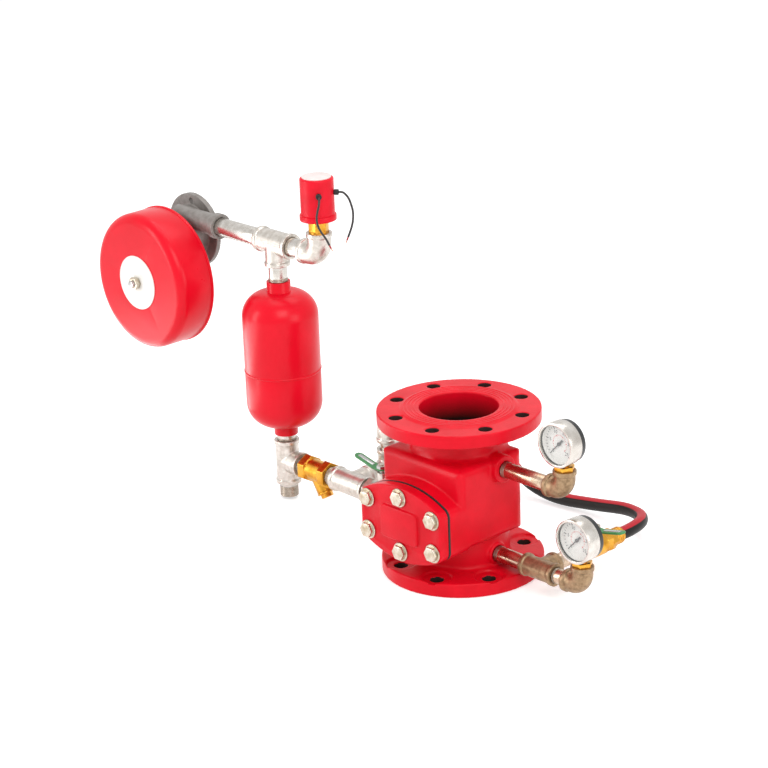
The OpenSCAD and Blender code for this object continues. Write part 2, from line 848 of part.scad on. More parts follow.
module valve_body() color("crimson") {
    difference() {
        union() {
            difference() {
                body_outside();
                body_inside();
            }
            body_lugs();
        }
        for (k = [0 : bolt_holes - 1]) {
            rotate([0, 0, 180 / bolt_holes + 360 * k / bolt_holes]) translate([bolt_circle_d / 2, 0, 0]) {
                translate([0, 0, -cut]) cylinder(h = flange_t + 2 * cut, d = bolt_hole_d);
                translate([0, 0, flange_t - spot_depth]) cylinder(h = spot_depth + cut, d = spot_d);
                translate([0, 0, body_h - flange_t - cut]) cylinder(h = flange_t + 2 * cut, d = bolt_hole_d);
            }
        }
        for (k = [0 : face_grooves - 1])
            translate([0, 0, body_h]) face_groove(raised_face_d / 2 - groove_pitch * (k + 0.7));
        translate([hinge_x, -body_lug_y - lug_w - cut, hinge_z]) along_y()
            cylinder(h = 2 * (body_lug_y + lug_w + cut), d = hinge_pin_d + 2 * fixed_play);
        cover_bolt_bars(cover_bolt_d + 2 * fixed_play, pad_y - cut, pad_y + bolt_sink + 2);
        translate([0, 0, upper_line_z]) along_x() line_port(upper_boss_x, small_od, small_bore, small_thread);
        translate([0, 0, lower_line_z]) along_x() line_port(lower_boss_x, small_od, small_bore, small_thread);
        translate([0, 0, alarm_z]) rotate([0, -90, 0])
            line_port(alarm_boss_x, large_od, alarm_port_d, large_thread);
    }
}

// Ring groove cut into a face at z = 0
module face_groove(r) {
    difference() {
        translate([0, 0, -groove_depth]) cylinder(h = groove_depth + cut, r = r + groove_w / 2);
        translate([0, 0, -groove_depth - cut]) cylinder(h = groove_depth + 3 * cut, r = r - groove_w / 2);
    }
}

// Port along Z: a socket at the boss face and a bore to the waterway
module line_port(boss_end, od, bore, depth) {
    translate([0, 0, seat_bore_d / 2]) cylinder(h = boss_end - seat_bore_d / 2, d = bore);
    translate([0, 0, boss_end]) socket_cut(od, depth);
}

module seat_ring() color("goldenrod") {
    tube(seat_ring_d, seat_bore_d, seat_base_z, seat_top_z);
}

// Clapper with its hinge lugs, cross ribs and a raised centre
module clapper() color("darkgoldenrod") {
    rib_h = 4;
    difference() {
        union() {
            translate([0, 0, plate_z]) cylinder(h = clapper_t, d = clapper_d);
            translate([0, 0, clapper_top_z - cut]) cylinder(h = rib_h + cut, d = clapper_d / 3);
            for (side = [-1, 1])
                translate([0, side * (lug_y + lug_w / 2) + lug_w / 2, 0])
                    along_minus_y() linear_extrude(lug_w) {
                        translate([hinge_x, hinge_z]) circle(lug_r);
                        translate([0, plate_z]) square([hinge_x, clapper_t]);
                        translate([hinge_x / 4, clapper_top_z - cut]) square([hinge_x / 2, rib_h / 2 + cut]);
                    }
        }
        translate([hinge_x, -clapper_d, hinge_z]) along_y()
            cylinder(h = 2 * clapper_d, d = hinge_pin_d + 2 * run_play);
        translate([0, 0, plate_z - cut]) cylinder(h = clapper_t, d = retainer_screw_d + 2 * fixed_play);
    }
}

module clapper_facing() color("dimgray") {
    tube(clapper_d - 2, facing_bore_d, facing_z, plate_z);
}

// Plate that clamps the facing, with its screw into the clapper
module facing_retainer() color("goldenrod") {
    translate([0, 0, plate_z - retainer_t]) cylinder(h = retainer_t, d = facing_bore_d - 2 * fixed_play);
    translate([0, 0, plate_z - cut]) cylinder(h = clapper_t - 1, d = retainer_screw_d);
    translate([0, 0, plate_z - retainer_t - retainer_head_t]) hex_bar(retainer_screw_d + 7, retainer_head_t);
}

module hinge_pin() color("silver") {
    translate([hinge_x, -body_lug_y - lug_w, hinge_z]) along_y()
        cylinder(h = 2 * (body_lug_y + lug_w), d = hinge_pin_d);
}

// Cover plate with its raised panel and the bolt clearance holes
module access_cover() color("crimson") {
    difference() {
        union() {
            front_plate(cover_y, gasket_y) cover_outline();
            front_plate(cover_y - panel_t, cover_y) round_rect(panel_w, panel_h, panel_r);
        }
        cover_bolt_bars(cover_bolt_d + 2 * bolt_hole_play, cover_y - cut, gasket_y + cut);
    }
}

module cover_gasket() color("black") {
    difference() {
        front_plate(gasket_y, pad_y) cover_outline();
        front_plate(gasket_y - cut, pad_y + cut) access_opening();
        cover_bolt_bars(cover_bolt_d + 2 * bolt_hole_play, gasket_y - cut, pad_y + cut);
    }
}

module cover_bolts() color("silver") {
    cover_bolt_bars(cover_bolt_d, cover_y, pad_y + bolt_sink);
    for (p = cover_bolt_places)
        translate([p[0], cover_y, cover_z + p[1]]) along_minus_y() hex_bar(cover_bolt_af, cover_bolt_head);
}

// Short pipes of the gauge and test lines
module small_nipples() color("rosybrown") {
    translate([0, 0, upper_line_z]) along_x()
        tube(small_od, small_bore, upper_boss_x - small_grip, upper_elbow_end + small_grip);
    translate([0, 0, lower_line_z]) along_x() {
        tube(small_od, small_bore, lower_boss_x - small_grip, test_tee_in + small_grip);
        tube(small_od, small_bore, test_tee_out - small_grip, lower_elbow_end + small_grip);
    }
    translate([test_tee_x, 0, lower_line_z]) along_y()
        tube(small_od, small_bore, small_reach - small_grip, test_valve_near + small_valve_grip);
}

module gauge_elbows() color("rosybrown") {
    at_gauges() mirror([1, 0, 0]) pipe_elbow(small_od, small_bore, small_reach, small_thread);
}

// Hexagon bushings that reduce the elbows to the gauge shanks
module gauge_bushings() color("goldenrod") {
    at_gauges() difference() {
        union() {
            translate([0, 0, small_reach - small_grip]) cylinder(h = small_thread, d = small_od);
            translate([0, 0, small_reach]) hex_bar(bushing_af, bushing_head);
        }
        translate([0, 0, small_reach - small_thread]) cylinder(h = 2 * small_thread + bushing_head,
            d = shank_d + 2 * fixed_play);
    }
}

// Gauge cups, open to the front, with the shank hole below
module gauge_cases() color("dimgray") {
    at_gauges() difference() {
        gauge_disc(case_r, case_front_y, case_back_y);
        gauge_disc(case_r - case_wall, case_front_y - cut, case_back_y - case_wall);
        translate([0, 0, small_reach]) cylinder(h = gauge_rise - small_reach, d = shank_d + 2 * fixed_play);
    }
}

module gauge_bezels() color("silver") {
    at_gauges() difference() {
        gauge_disc(gauge_d / 2, gauge_front_y, gauge_front_y + bezel_l);
        gauge_disc(case_r - bezel_lip, gauge_front_y - cut, gauge_front_y + bezel_l + cut);
        gauge_disc(case_r + fixed_play, gauge_front_y + lip_t, gauge_front_y + bezel_l + cut);
        translate([0, 0, small_reach]) cylinder(h = gauge_rise - small_reach, d = shank_d + 2 * face_gap);
    }
}

module gauge_dials() color("white") {
    at_gauges() difference() {
        gauge_disc(case_r - case_wall - fixed_play, dial_y, dial_y + dial_t);
        gauge_disc(arbor_d / 2 + 0.6, dial_y - cut, dial_y + dial_t + cut);
    }
}

module gauge_lenses() color("lightblue", 0.3) {
    at_gauges() gauge_disc(case_r - fixed_play, gauge_front_y + lip_t, case_front_y);
}

// Brass shanks with the movement block that carries dial and needle
module gauge_movements() color("goldenrod") {
    shank_z = small_reach - small_thread + 4;
    at_gauges() difference() {
        union() {
            translate([0, 0, shank_z]) cylinder(h = gauge_rise - shank_z, d = shank_d);
            gauge_disc(8, dial_y + dial_t, case_back_y - case_wall);
        }
        gauge_disc(arbor_d / 2 + run_play, dial_y - cut, dial_y + 9);
        translate([0, 0, shank_z - cut]) cylinder(h = small_thread, d = shank_d / 3);
    }
}

module upper_needle() color("black") {
    translate([upper_gauge_x, 0, upper_line_z]) gauge_needle();
}

module lower_needle() color("black") {
    translate([lower_gauge_x, 0, lower_line_z]) gauge_needle();
}

module test_tee() color("rosybrown") {
    translate([test_tee_x, 0, lower_line_z]) rotate([-90, 0, 0])
        pipe_tee(small_od, small_bore, small_reach, small_thread);
}

// Places the test valve with its flow along Y and its bore closed
module at_test_valve() {
    translate([test_tee_x, test_valve_y, lower_line_z]) children();
}

module test_valve_body() color("goldenrod") {
    stem_top = small_lever_rise - lever_gap;
    at_test_valve() rotate([0, 0, 90])
        ball_valve_body(small_od, small_bore, test_valve_half, small_ball_d, small_valve_thread, stem_top);
}

module test_valve_ball() color("silver") {
    at_test_valve() valve_ball(small_ball_d, small_bore - 2);
}

module test_valve_stem() color("silver") {
    at_test_valve() valve_stem(small_ball_d, small_lever_rise);
}

module test_valve_lever() color("seagreen") {
    at_test_valve() valve_lever(small_lever_rise);
}

// Hose tails of the test valve and of the riser
module hose_tails() color("goldenrod") {
    translate([test_tee_x, test_valve_far, lower_line_z]) along_y()
        hose_tail(small_od, small_valve_thread, tail_l);
    translate([-alarm_tee_x, riser_elbow_end, riser_z]) along_y()
        hose_tail(large_od, large_thread, riser_tail_end - riser_elbow_end);
}

module test_hose() color("black") {
    swept_tube(hose_route, hose_d, 12, [0, 0, 1]);
}

// Short pipes of the alarm line, its column, its riser and its drain
module large_nipples() color("silver") {
    grip = large_grip;
    translate([0, 0, alarm_z]) along_x() {
        tube(large_od, large_bore, valve_right - large_valve_grip, -alarm_boss_x + grip);
        tube(large_od, large_bore, tee_right - grip, valve_left + large_valve_grip);
        tube(large_od, large_bore, strainer_right - strainer_grip, tee_left + grip);
        tube(large_od, large_bore, drain_tee_end - grip, strainer_left + strainer_grip);
    }
    translate([-chamber_x, 0, 0]) {
        tube(drain_thread_d, large_bore, drain_end_z, drain_end_z + drain_thread_l);
        tube(large_od, large_bore, drain_end_z + drain_thread_l, alarm_z - large_reach + grip);
        tube(large_od, large_bore, alarm_z + large_reach - grip, chamber_z - 1);
        tube(large_od, large_bore, chamber_top_z + 1, gong_line_z - large_reach + grip);
    }
    translate([0, 0, gong_line_z]) along_x()
        tube(large_od, large_bore, -chamber_x + large_reach - grip, switch_x - large_reach + grip);
    translate([-alarm_tee_x, 0, alarm_z]) along_y()
        tube(large_od, large_bore, large_reach - grip, riser_y - large_reach + grip);
    translate([-alarm_tee_x, riser_y, 0])
        tube(large_od, large_bore, alarm_z + large_reach - grip, riser_z - large_reach + grip);
}

// Places the alarm control valve, open at rest
module at_alarm_valve() {
    translate([-alarm_valve_x, 0, alarm_z]) children();
}

module alarm_valve_body() color("silver") {
    stem_top = large_lever_rise - lever_gap;
    at_alarm_valve()
        ball_valve_body(large_od, large_bore, alarm_valve_half, large_ball_d, large_valve_thread, stem_top);
}

module alarm_valve_ball() color("silver") {
    at_alarm_valve() valve_ball(large_ball_d, large_bore - 3);
}

module alarm_valve_stem() color("silver") {
    at_alarm_valve() valve_stem(large_ball_d, large_lever_rise);
}

module alarm_valve_lever() color("seagreen") {
    at_alarm_valve() rotate([0, 0, 180]) valve_lever(large_lever_rise);
}

module alarm_tee() color("silver") {
    translate([-alarm_tee_x, 0, alarm_z]) rotate([-90, 0, 0])
        pipe_tee(large_od, large_bore, large_reach, large_thread);
}

// Large elbows: two in the riser to the hose and one under the switch
module pipe_elbows() color("silver") {
    translate([-alarm_tee_x, riser_y, alarm_z]) rotate([0, 0, -90]) large_elbow();
    translate([-alarm_tee_x, riser_y, riser_z]) mirror([0, 0, 1]) rotate([0, 0, 90]) large_elbow();
    translate([switch_x, 0, gong_line_z]) rotate([0, 0, 180]) large_elbow();
}

module large_elbow() {
    pipe_elbow(large_od, large_bore, large_reach, large_thread);
}

// Places a shape made along Z down the slanted leg of the strainer
module along_strainer_leg() {
    translate([-strainer_x - strainer_leg_shift, 0, alarm_z]) rotate([0, 180 - strainer_lean, 0]) children();
}

module strainer_body() color("goldenrod") {
    end = strainer_l / 2;
    difference() {
        union() {
            translate([-strainer_x, 0, alarm_z]) {
                for (turn = [-90, 90])
                    rotate([0, turn, 0]) translate([0, 0, end - strainer_hex_l])
                        hex_bar(strainer_hex_af, strainer_hex_l);
                translate([-end + 1, 0, 0]) along_x() cylinder(h = strainer_l - 2, d = strainer_barrel_d);
            }
            along_strainer_leg() cylinder(h = strainer_leg_l, d = strainer_leg_d);
        }
        translate([-strainer_x, 0, alarm_z])
            for (turn = [-90, 90])
                rotate([0, turn, 0]) fitting_bore(large_od, large_bore - 3, end, strainer_thread);
        along_strainer_leg() cylinder(h = strainer_leg_l + cut, d = screen_d + 2 * fixed_play);
    }
}

module strainer_screen() color("lightgray") {
    along_strainer_leg() tube(screen_d, screen_d - 2 * screen_wall, screen_start, strainer_leg_l);
}

module strainer_cap() color("goldenrod") {
    along_strainer_leg() translate([0, 0, strainer_leg_l]) {
        cylinder(h = strainer_rim_t, d = strainer_rim_d);
        translate([0, 0, strainer_rim_t]) hex_bar(strainer_cap_af, strainer_cap_h);
    }
}

module drain_tee() color("silver") {
    translate([-chamber_x, 0, alarm_z]) rotate([0, 90, 0])
        pipe_tee(large_od, large_bore, large_reach, large_thread);
}

// Half section of one end of the chamber, with its neck, from z = 0 up to the dome
module chamber_end(r, h) {
    wall = chamber_wall;
    difference() {
        union() {
            can_section(r, h, shoulder_r);
            square([chamber_neck_d / 2, h + chamber_neck_l]);
        }
        translate([0, -cut]) can_section(r - wall, h - wall + cut, shoulder_r - wall);
        translate([0, -cut]) square([large_od / 2 + fixed_play, h + chamber_neck_l + 2 * cut]);
    }
}

// Upper shell of the chamber, which laps over the rim of the lower one
module chamber_upper_shell() color("crimson") {
    translate([-chamber_x, 0, chamber_z + seam_h]) rotate_extrude($fn = 96)
        chamber_end(chamber_d / 2, chamber_h - seam_h);
}

// Lower shell of the chamber, with a joggled rim inside the upper one
module chamber_lower_shell() color("crimson") {
    lap_r = chamber_d / 2 - chamber_wall - fixed_play;
    rim_r = lap_r - chamber_wall;
    translate([-chamber_x, 0, chamber_z + seam_h]) mirror([0, 0, 1]) rotate_extrude($fn = 96) {
        chamber_end(chamber_d / 2, seam_h);
        translate([rim_r, -lap_l]) square([chamber_wall, lap_l + cut]);
        translate([rim_r, 0]) square([2 * chamber_wall, lap_l]);
    }
}

module upper_tee() color("silver") {
    translate([-chamber_x, 0, gong_line_z]) rotate([180, 0, 0])
        pipe_tee(large_od, large_bore, large_reach, large_thread);
}

module gong_pipe() color("silver") {
    translate([0, 0, gong_line_z]) along_x()
        tube(large_od, large_bore, inlet_end_x - large_grip, -chamber_x - large_reach + large_grip);
}

// Hexagon neck that screws the switch into its elbow
module switch_neck() color("goldenrod") {
    translate([switch_x, 0, switch_neck_z]) difference() {
        union() {
            translate([0, 0, -large_grip]) cylinder(h = large_thread, d = large_od);
            hex_bar(neck_af, switch_neck_l);
        }
        translate([0, 0, -large_thread]) cylinder(h = switch_neck_l, d = small_bore);
    }
}

module switch_base() color("crimson") {
    translate([switch_x, 0, switch_base_z]) cylinder(h = switch_rim_h, d = switch_rim_d);
}

module switch_housing() color("crimson") {
    difference() {
        translate([switch_x, 0, switch_body_z]) rotate_extrude()
            can_shell(switch_d / 2, switch_h, switch_edge_r, switch_wall);
        at_grommets() cylinder(h = switch_d, d = grommet_d - 2 + 2 * fixed_play);
    }
}

module switch_cap() color("white") {
    translate([switch_x, 0, switch_top_z]) cylinder(h = cap_t, d = cap_d);
}

// Rubber grommets: a spigot through the wall and a collar outside it
module lead_grommets() color("black") {
    wall_r = switch_d / 2;
    at_grommets() {
        translate([0, 0, wall_r - switch_wall - 2]) cylinder(h = switch_wall + 3, d = grommet_d - 2);
        translate([0, 0, wall_r + 0.5]) cylinder(h = grommet_l, d = grommet_d);
    }
}

module front_lead() color("black") {
    swept_tube(front_lead_route, lead_d, 8, [1, 1, 0]);
}

module side_lead() color("black") {
    swept_tube(side_lead_route, lead_d, 8, [1, -1, 0]);
}

// Cast turbine casing with its inlet tube and its wall plate
module motor_casing() color("gray") {
    difference() {
        union() {
            motor_disc(plate_d, plate_back_y - plate_t, plate_back_y);
            motor_disc(drum_d, drum_front_y, plate_back_y - plate_t / 2);
            translate([inlet_tail_x, 0, gong_line_z]) along_x()
                cylinder(h = inlet_end_x - inlet_tail_x, d = inlet_d);
            translate([inlet_end_x - inlet_band_l, 0, gong_line_z]) along_x()
                cylinder(h = inlet_band_l, d = inlet_band_d);
        }
        motor_disc(drum_d - 2 * drum_wall, drum_front_y - cut, drum_back_y);
        motor_disc(shaft_d + 2 * run_play, drum_back_y - cut, shaft_back_y);
        motor_screw_bars(motor_screw_d - 1 + 2 * fixed_play, drum_front_y - cut, drum_front_y + 12);
        translate([gong_x, 0, gong_line_z]) along_x() cylinder(h = inlet_end_x - gong_x, d = nozzle_d);
        translate([inlet_end_x, 0, gong_line_z]) along_x() socket_cut(large_od, large_thread);
        for (k = [0 : 3])
            translate([gong_x, plate_back_y + cut, turbine_z]) along_minus_y() rotate([0, 0, 90 * k])
                translate([plate_circle_d / 2, 0, 0]) cylinder(h = plate_t + 2 * cut, d = plate_hole_d);
    }
}

// Front cover of the turbine with the arm that carries the bell
module motor_cover() color("gray") {
    difference() {
        union() {
            motor_disc(drum_d, motor_cover_y, drum_front_y);
            translate([gong_x, motor_cover_y, turbine_z]) along_minus_y() linear_extrude(arm_t) {
                circle(d = arm_w);
                translate([0, -bell_drop]) circle(d = arm_w);
                translate([-arm_w / 2, -bell_drop]) square([arm_w, bell_drop]);
            }
        }
        motor_disc(shaft_d + 2 * run_play, arm_y - cut, drum_front_y + cut);
        motor_screw_bars(motor_screw_d + 2 * fixed_play, motor_cover_y - cut, drum_front_y + cut);
        at_bell(motor_cover_y - 1) cylinder(h = arm_t, d = post_stud_d + 2 * fixed_play);
    }
}

module motor_screws() color("silver") {
    motor_screw_bars(motor_screw_d - 1, motor_cover_y - 1, drum_front_y + 10);
    motor_screw_bars(motor_screw_d + 4, motor_cover_y - 4, motor_cover_y);
}

// Turbine wheel: a hub and web with buckets round its rim
module turbine_wheel() color("goldenrod") {
    bucket_r = 3;
    difference() {
        motor_disc(wheel_d, wheel_front_y, wheel_back_y);
        motor_disc(shaft_d + 2 * fixed_play, wheel_front_y - cut, wheel_back_y + cut);
        for (k = [0 : wheel_buckets - 1])
            translate([gong_x, wheel_back_y + cut, turbine_z]) along_minus_y()
                rotate([0, 0, 360 * k / wheel_buckets]) translate([wheel_d / 2, 0, 0])
                    cylinder(h = wheel_back_y - wheel_front_y + 2 * cut, r = bucket_r, $fn = 24);
    }
}

module striker_shaft() color("silver") {
    motor_disc(shaft_d, striker_y - striker_t - 2, shaft_back_y - 0.5);
}

// Striker arm with a round hammer at its end
module striker() color("silver") {
    arm_r = striker_reach - hammer_d / 2;
    translate([gong_x, striker_y, turbine_z]) along_minus_y() difference() {
        union() {
            cylinder(h = striker_t, d = shaft_d + 8);
            translate([-4, 0, 3]) cube([8, arm_r, striker_t - 6]);
            translate([0, arm_r, 0]) cylinder(h = striker_t, d = hammer_d);
        }
        translate([0, 0, -cut]) cylinder(h = striker_t + 2 * cut, d = shaft_d + 2 * fixed_play);
    }
}

// Post from the arm to the bell, stepped down to a stud at each end
module gong_post() color("silver") {
    seat = bell_front - bell_wall + arm_y;
    at_bell(arm_y) {
        translate([0, 0, -arm_t + 2]) cylinder(h = arm_t, d = post_stud_d);
        cylinder(h = seat, d = post_d);
        cylinder(h = seat + bell_wall + disc_t + nut_t + 4, d = post_stud_d);
    }
}

module gong_bell() color("crimson") {
    at_bell(bell_depth - bell_front) difference() {
        rotate_extrude($fn = 128) can_shell(bell_d / 2, bell_depth, bell_edge_r, bell_wall);
        cylinder(h = bell_depth + cut, d = post_stud_d + 2 * fixed_play);
    }
}

module gong_disc() color("white") {
    at_bell(-bell_front) tube(disc_d, post_stud_d + 2 * fixed_play, 0, disc_t);
}

module gong_nut() color("silver") {
    at_bell(-bell_front - disc_t) difference() {
        hex_bar(nut_af, nut_t);
        translate([0, 0, -cut]) cylinder(h = nut_t + 2 * cut, d = post_stud_d + 2 * fixed_play);
    }
}

valve_body();
seat_ring();
clapper();
clapper_facing();
facing_retainer();
hinge_pin();
access_cover();
cover_gasket();
cover_bolts();
small_nipples();
gauge_elbows();
gauge_bushings();
gauge_cases();
gauge_bezels();
gauge_dials();
gauge_lenses();
gauge_movements();
upper_needle();
lower_needle();
test_tee();
test_valve_body();
test_valve_ball();
test_valve_stem();
test_valve_lever();
hose_tails();
test_hose();
large_nipples();
alarm_valve_body();
alarm_valve_ball();
alarm_valve_stem();
alarm_valve_lever();
alarm_tee();
pipe_elbows();
strainer_body();
strainer_screen();
strainer_cap();
drain_tee();
chamber_upper_shell();
chamber_lower_shell();
upper_tee();
gong_pipe();
switch_neck();
switch_base();
switch_housing();
switch_cap();
lead_grommets();
front_lead();
side_lead();
motor_casing();
motor_cover();
motor_screws();
turbine_wheel();
striker_shaft();
striker();
gong_post();
gong_bell();
gong_disc();
gong_nut();
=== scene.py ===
"""Looks of a wet sprinkler alarm valve with its trim, retard chamber and water motor gong.

Every piece is in metres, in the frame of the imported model: the origin is the centre of the lower
flange face, Z is the valve axis and the access cover faces -Y.
"""
import json
import logging
import math
from contextlib import contextmanager
from dataclasses import dataclass, field
from enum import Enum
from typing import Dict, Iterator, List, Optional, Sequence, Tuple

import bpy
from mathutils import Euler, Matrix, Vector


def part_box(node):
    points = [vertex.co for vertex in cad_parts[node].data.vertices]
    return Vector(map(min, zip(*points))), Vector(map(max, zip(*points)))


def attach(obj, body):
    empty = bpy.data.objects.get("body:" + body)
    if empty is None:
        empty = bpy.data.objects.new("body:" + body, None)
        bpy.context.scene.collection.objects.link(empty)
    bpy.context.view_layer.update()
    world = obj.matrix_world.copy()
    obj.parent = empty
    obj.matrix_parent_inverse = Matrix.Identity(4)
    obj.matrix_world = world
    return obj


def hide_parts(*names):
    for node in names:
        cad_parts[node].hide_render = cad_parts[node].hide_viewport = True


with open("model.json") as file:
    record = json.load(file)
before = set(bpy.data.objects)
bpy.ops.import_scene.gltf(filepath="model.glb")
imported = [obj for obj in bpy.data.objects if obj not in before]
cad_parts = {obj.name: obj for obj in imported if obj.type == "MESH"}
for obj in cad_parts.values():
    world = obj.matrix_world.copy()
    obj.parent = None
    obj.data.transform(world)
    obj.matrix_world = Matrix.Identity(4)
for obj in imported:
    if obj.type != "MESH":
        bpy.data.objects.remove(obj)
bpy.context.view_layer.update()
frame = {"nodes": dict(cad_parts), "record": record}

LOG = logging.getLogger("alarm_valve")
MM = 0.001
Piece = bpy.types.Object
Material = bpy.types.Material
Tree = bpy.types.NodeTree
Socket = bpy.types.NodeSocket
Pair = Tuple[float, float]
Point = Tuple[float, float, float]
Profile = Sequence[Pair]
Widths = Dict[str, float]
ALONG_X: Point = (1, 0, 0)
ALONG_Y: Point = (0, 1, 0)
FORWARD: Point = (0, -1, 0)
UP: Point = (0, 0, 1)
# Sides of the circle of large rings, dials, wires and nuts
RING_SIDES = 128
DIAL_SIDES = 64
WIRE_SIDES = 16
NUT_SIDES = 6
# Refractive index of paint, plastic and glass
GLAZE_IOR = 1.5
# Point attribute that runs from 0 below a cord to 1 on its upper side
UPPER_SIDE = "upper_side"
# Points nearer than this are one point
WELD = 2e-6
# Faces that meet flatter than this are one flat face
FLAT_ANGLE = math.radians(0.6)
# Edges sharper than this get a rounding
SHARP_ANGLE = math.radians(32)
# Edges flatter than this are shaded smooth
SMOOTH_ANGLE = math.radians(34)


class Body(str, Enum):
    """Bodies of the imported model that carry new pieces."""

    FRAME = "frame"
    ALARM_LEVER = "alarm_lever"
    TEST_LEVER = "test_lever"


def linear(hex_code: str) -> Tuple[float, float, float, float]:
    """Turns an sRGB hex colour into the linear colour of a socket.

    Args:
        hex_code: Six hex digits after a number sign.

    Returns:
        Linear red, green, blue and an alpha of 1.
    """
    parts = [int(hex_code[i:i + 2], 16) / 255 for i in (1, 3, 5)]
    red, green, blue = (c / 12.92 if c <= 0.04045 else ((c + 0.055) / 1.055) ** 2.4 for c in parts)
    return red, green, blue, 1.0


def per_metre(size_mm: float) -> float:
    """Gives the texture scale at which one cell is about size_mm wide."""
    return 1.0 / (size_mm * MM)


def table(**widths: float) -> Widths:
    """Gives a dataclass field a table of its own, by node."""
    return field(default_factory=lambda: dict(widths))


def set_inputs(tree: Tree, node: bpy.types.Node, **inputs: object) -> None:
    """Sets or links the sockets of a shader node.

    Args:
        tree: The material or world node tree.
        node: The node.
        inputs: Values or source sockets, by socket name with underscores for spaces, or i and its number.
    """
    for name, value in inputs.items():
        key = int(name[1:]) if name[0] == "i" and name[1:].isdigit() else name.replace("_", " ")
        if isinstance(value, Socket):
            tree.links.new(value, node.inputs[key])
        else:
            node.inputs[key].default_value = value


def add_node(tree: Tree, kind: str, settings: Optional[dict] = None,
             **inputs: object) -> bpy.types.Node:
    """Adds a shader node.

    Args:
        tree: The material or world node tree.
        kind: The node's type name, without its ShaderNode.
        settings: Properties to set on the node.
        inputs: Sockets, as for set_inputs.

    Returns:
        The new node.
    """
    node = tree.nodes.new("ShaderNode" + kind)
    for name, value in (settings or {}).items():
        setattr(node, name, value)
    set_inputs(tree, node, **inputs)
    return node


def any_ray(tree: Tree, *kinds: str) -> Socket:
    """Gives a socket that is 1 for rays of the named kinds and 0 for others."""
    rays = add_node(tree, "LightPath")
    seen = rays.outputs[kinds[0]]
    for kind in kinds[1:]:
        seen = add_node(tree, "Math", {"operation": "MAXIMUM"}, i0=seen,
                        i1=rays.outputs[kind]).outputs[0]
    return seen


def object_place(tree: Tree) -> Socket:
    """Gives the Object coordinates."""
    return add_node(tree, "TexCoord").outputs["Object"]


def ranged(tree: Tree, value: Socket, source: Pair, target: Pair = (0.0, 1.0)) -> Socket:
    """Takes a value from one range to another and keeps it within that one."""
    return add_node(tree, "MapRange", Value=value, From_Min=source[0], From_Max=source[1],
                    To_Min=target[0], To_Max=target[1]).outputs["Result"]


def mixed(tree: Tree, share: Socket, first: object, second: object) -> Socket:
    """Mixes two colours, by the share of the second one."""
    return add_node(tree, "Mix", {"data_type": "RGBA"}, Factor=share, i6=first, i7=second).outputs[2]


def grain(tree: Tree, place: Socket, size_mm: float, depth_mm: float, strength: float) -> Socket:
    """Gives the normal of a fine bump grain.

    Args:
        tree: The material's node tree.
        place: Coordinates of the grain.
        size_mm: Size of a grain.
        depth_mm: Its depth.
        strength: Strength of the bump.

    Returns:
        The normal.
    """
    noise = add_node(tree, "TexNoise", Vector=place, Scale=per_metre(size_mm), Detail=2.0)
    return add_node(tree, "Bump", Height=noise.outputs["Fac"], Strength=strength,
                    Distance=depth_mm * MM).outputs["Normal"]


def start_material(name: str) -> Tuple[Material, Tree, bpy.types.Node]:
    """Makes a material and gives it with its node tree and its shader."""
    mat = bpy.data.materials.new(name)
    mat.use_nodes = True
    return mat, mat.node_tree, mat.node_tree.nodes["Principled BSDF"]


@dataclass(frozen=True)
class Finish:
    """Surface finish: a base colour with blotches, a bump pattern and gloss that varies a little.

    Attributes:
        name: Common name of the material and how its surface was made.
        colour: Main colour.
        shade: Second colour, in the blotches.
        metallic: 1 for bare metal.
        roughness: Lowest and highest roughness.
        blotch_mm: Size of the colour blotches.
        grain_mm: Size of the bump grain.
        grain_depth_mm: Depth of the bump grain.
        specular: Level of the reflection, 0.5 for a plain surface.
    """

    name: str
    colour: str
    shade: str
    metallic: float = 0.0
    roughness: Pair = (0.3, 0.4)
    blotch_mm: float = 30.0
    grain_mm: float = 1.5
    grain_depth_mm: float = 0.05
    specular: float = 0.5

    def make(self) -> Material:
        """Builds the material.

        Returns:
            The material, with its pattern on Object coordinates.
        """
        mat, tree, shader = start_material(self.name)
        place = object_place(tree)
        amount = add_node(tree, "TexNoise", Vector=place, Scale=per_metre(self.blotch_mm), Detail=4.0,
                          Roughness=0.6).outputs["Fac"]
        share = ranged(tree, amount, (0.3, 0.7))
        set_inputs(tree, shader, Base_Color=mixed(tree, share, linear(self.colour), linear(self.shade)),
                   Roughness=ranged(tree, amount, (0.0, 1.0), self.roughness),
                   Normal=grain(tree, place, self.grain_mm, self.grain_depth_mm, 0.6),
                   Metallic=self.metallic, Specular_IOR_Level=self.specular)
        if self.metallic < 0.5:
            set_inputs(tree, shader, IOR=GLAZE_IOR)
        return mat


# Enamel sprayed over sand castings: a soft gloss with the unevenness of the cast skin under it
RED_ENAMEL = Finish("red_enamel_on_cast_iron", "#E20A24", "#CE071C", roughness=(0.26, 0.4), blotch_mm=45,
                    grain_mm=3.0, grain_depth_mm=0.3, specular=0.16)
# Enamel on drawn sheet: smoother than on a casting
RED_SHEET = Finish("red_enamel_on_sheet_steel", "#E50B26", "#D8081F", roughness=(0.24, 0.34), blotch_mm=60,
                   grain_mm=7.0, grain_depth_mm=0.08, specular=0.2)
# Moulded plastic of the switch cover: even colour, fine grain
RED_PLASTIC = Finish("red_moulded_abs", "#E40C28", "#D80A22", roughness=(0.32, 0.42), blotch_mm=20,
                     grain_mm=0.8, grain_depth_mm=0.02, specular=0.2)
# Drilled holes of the casting, which the paint doesn't reach: dark and dull
BARE_IRON = Finish("bare_cast_iron", "#3A2420", "#2A1A18", roughness=(0.6, 0.8), blotch_mm=9,
                   grain_mm=1.4, grain_depth_mm=0.2, specular=0.2)
# Cast bronze with a machined, slightly dull face
BRONZE = Finish("cast_bronze", "#B7803C", "#9B6A30", metallic=1.0, roughness=(0.3, 0.45), blotch_mm=12)
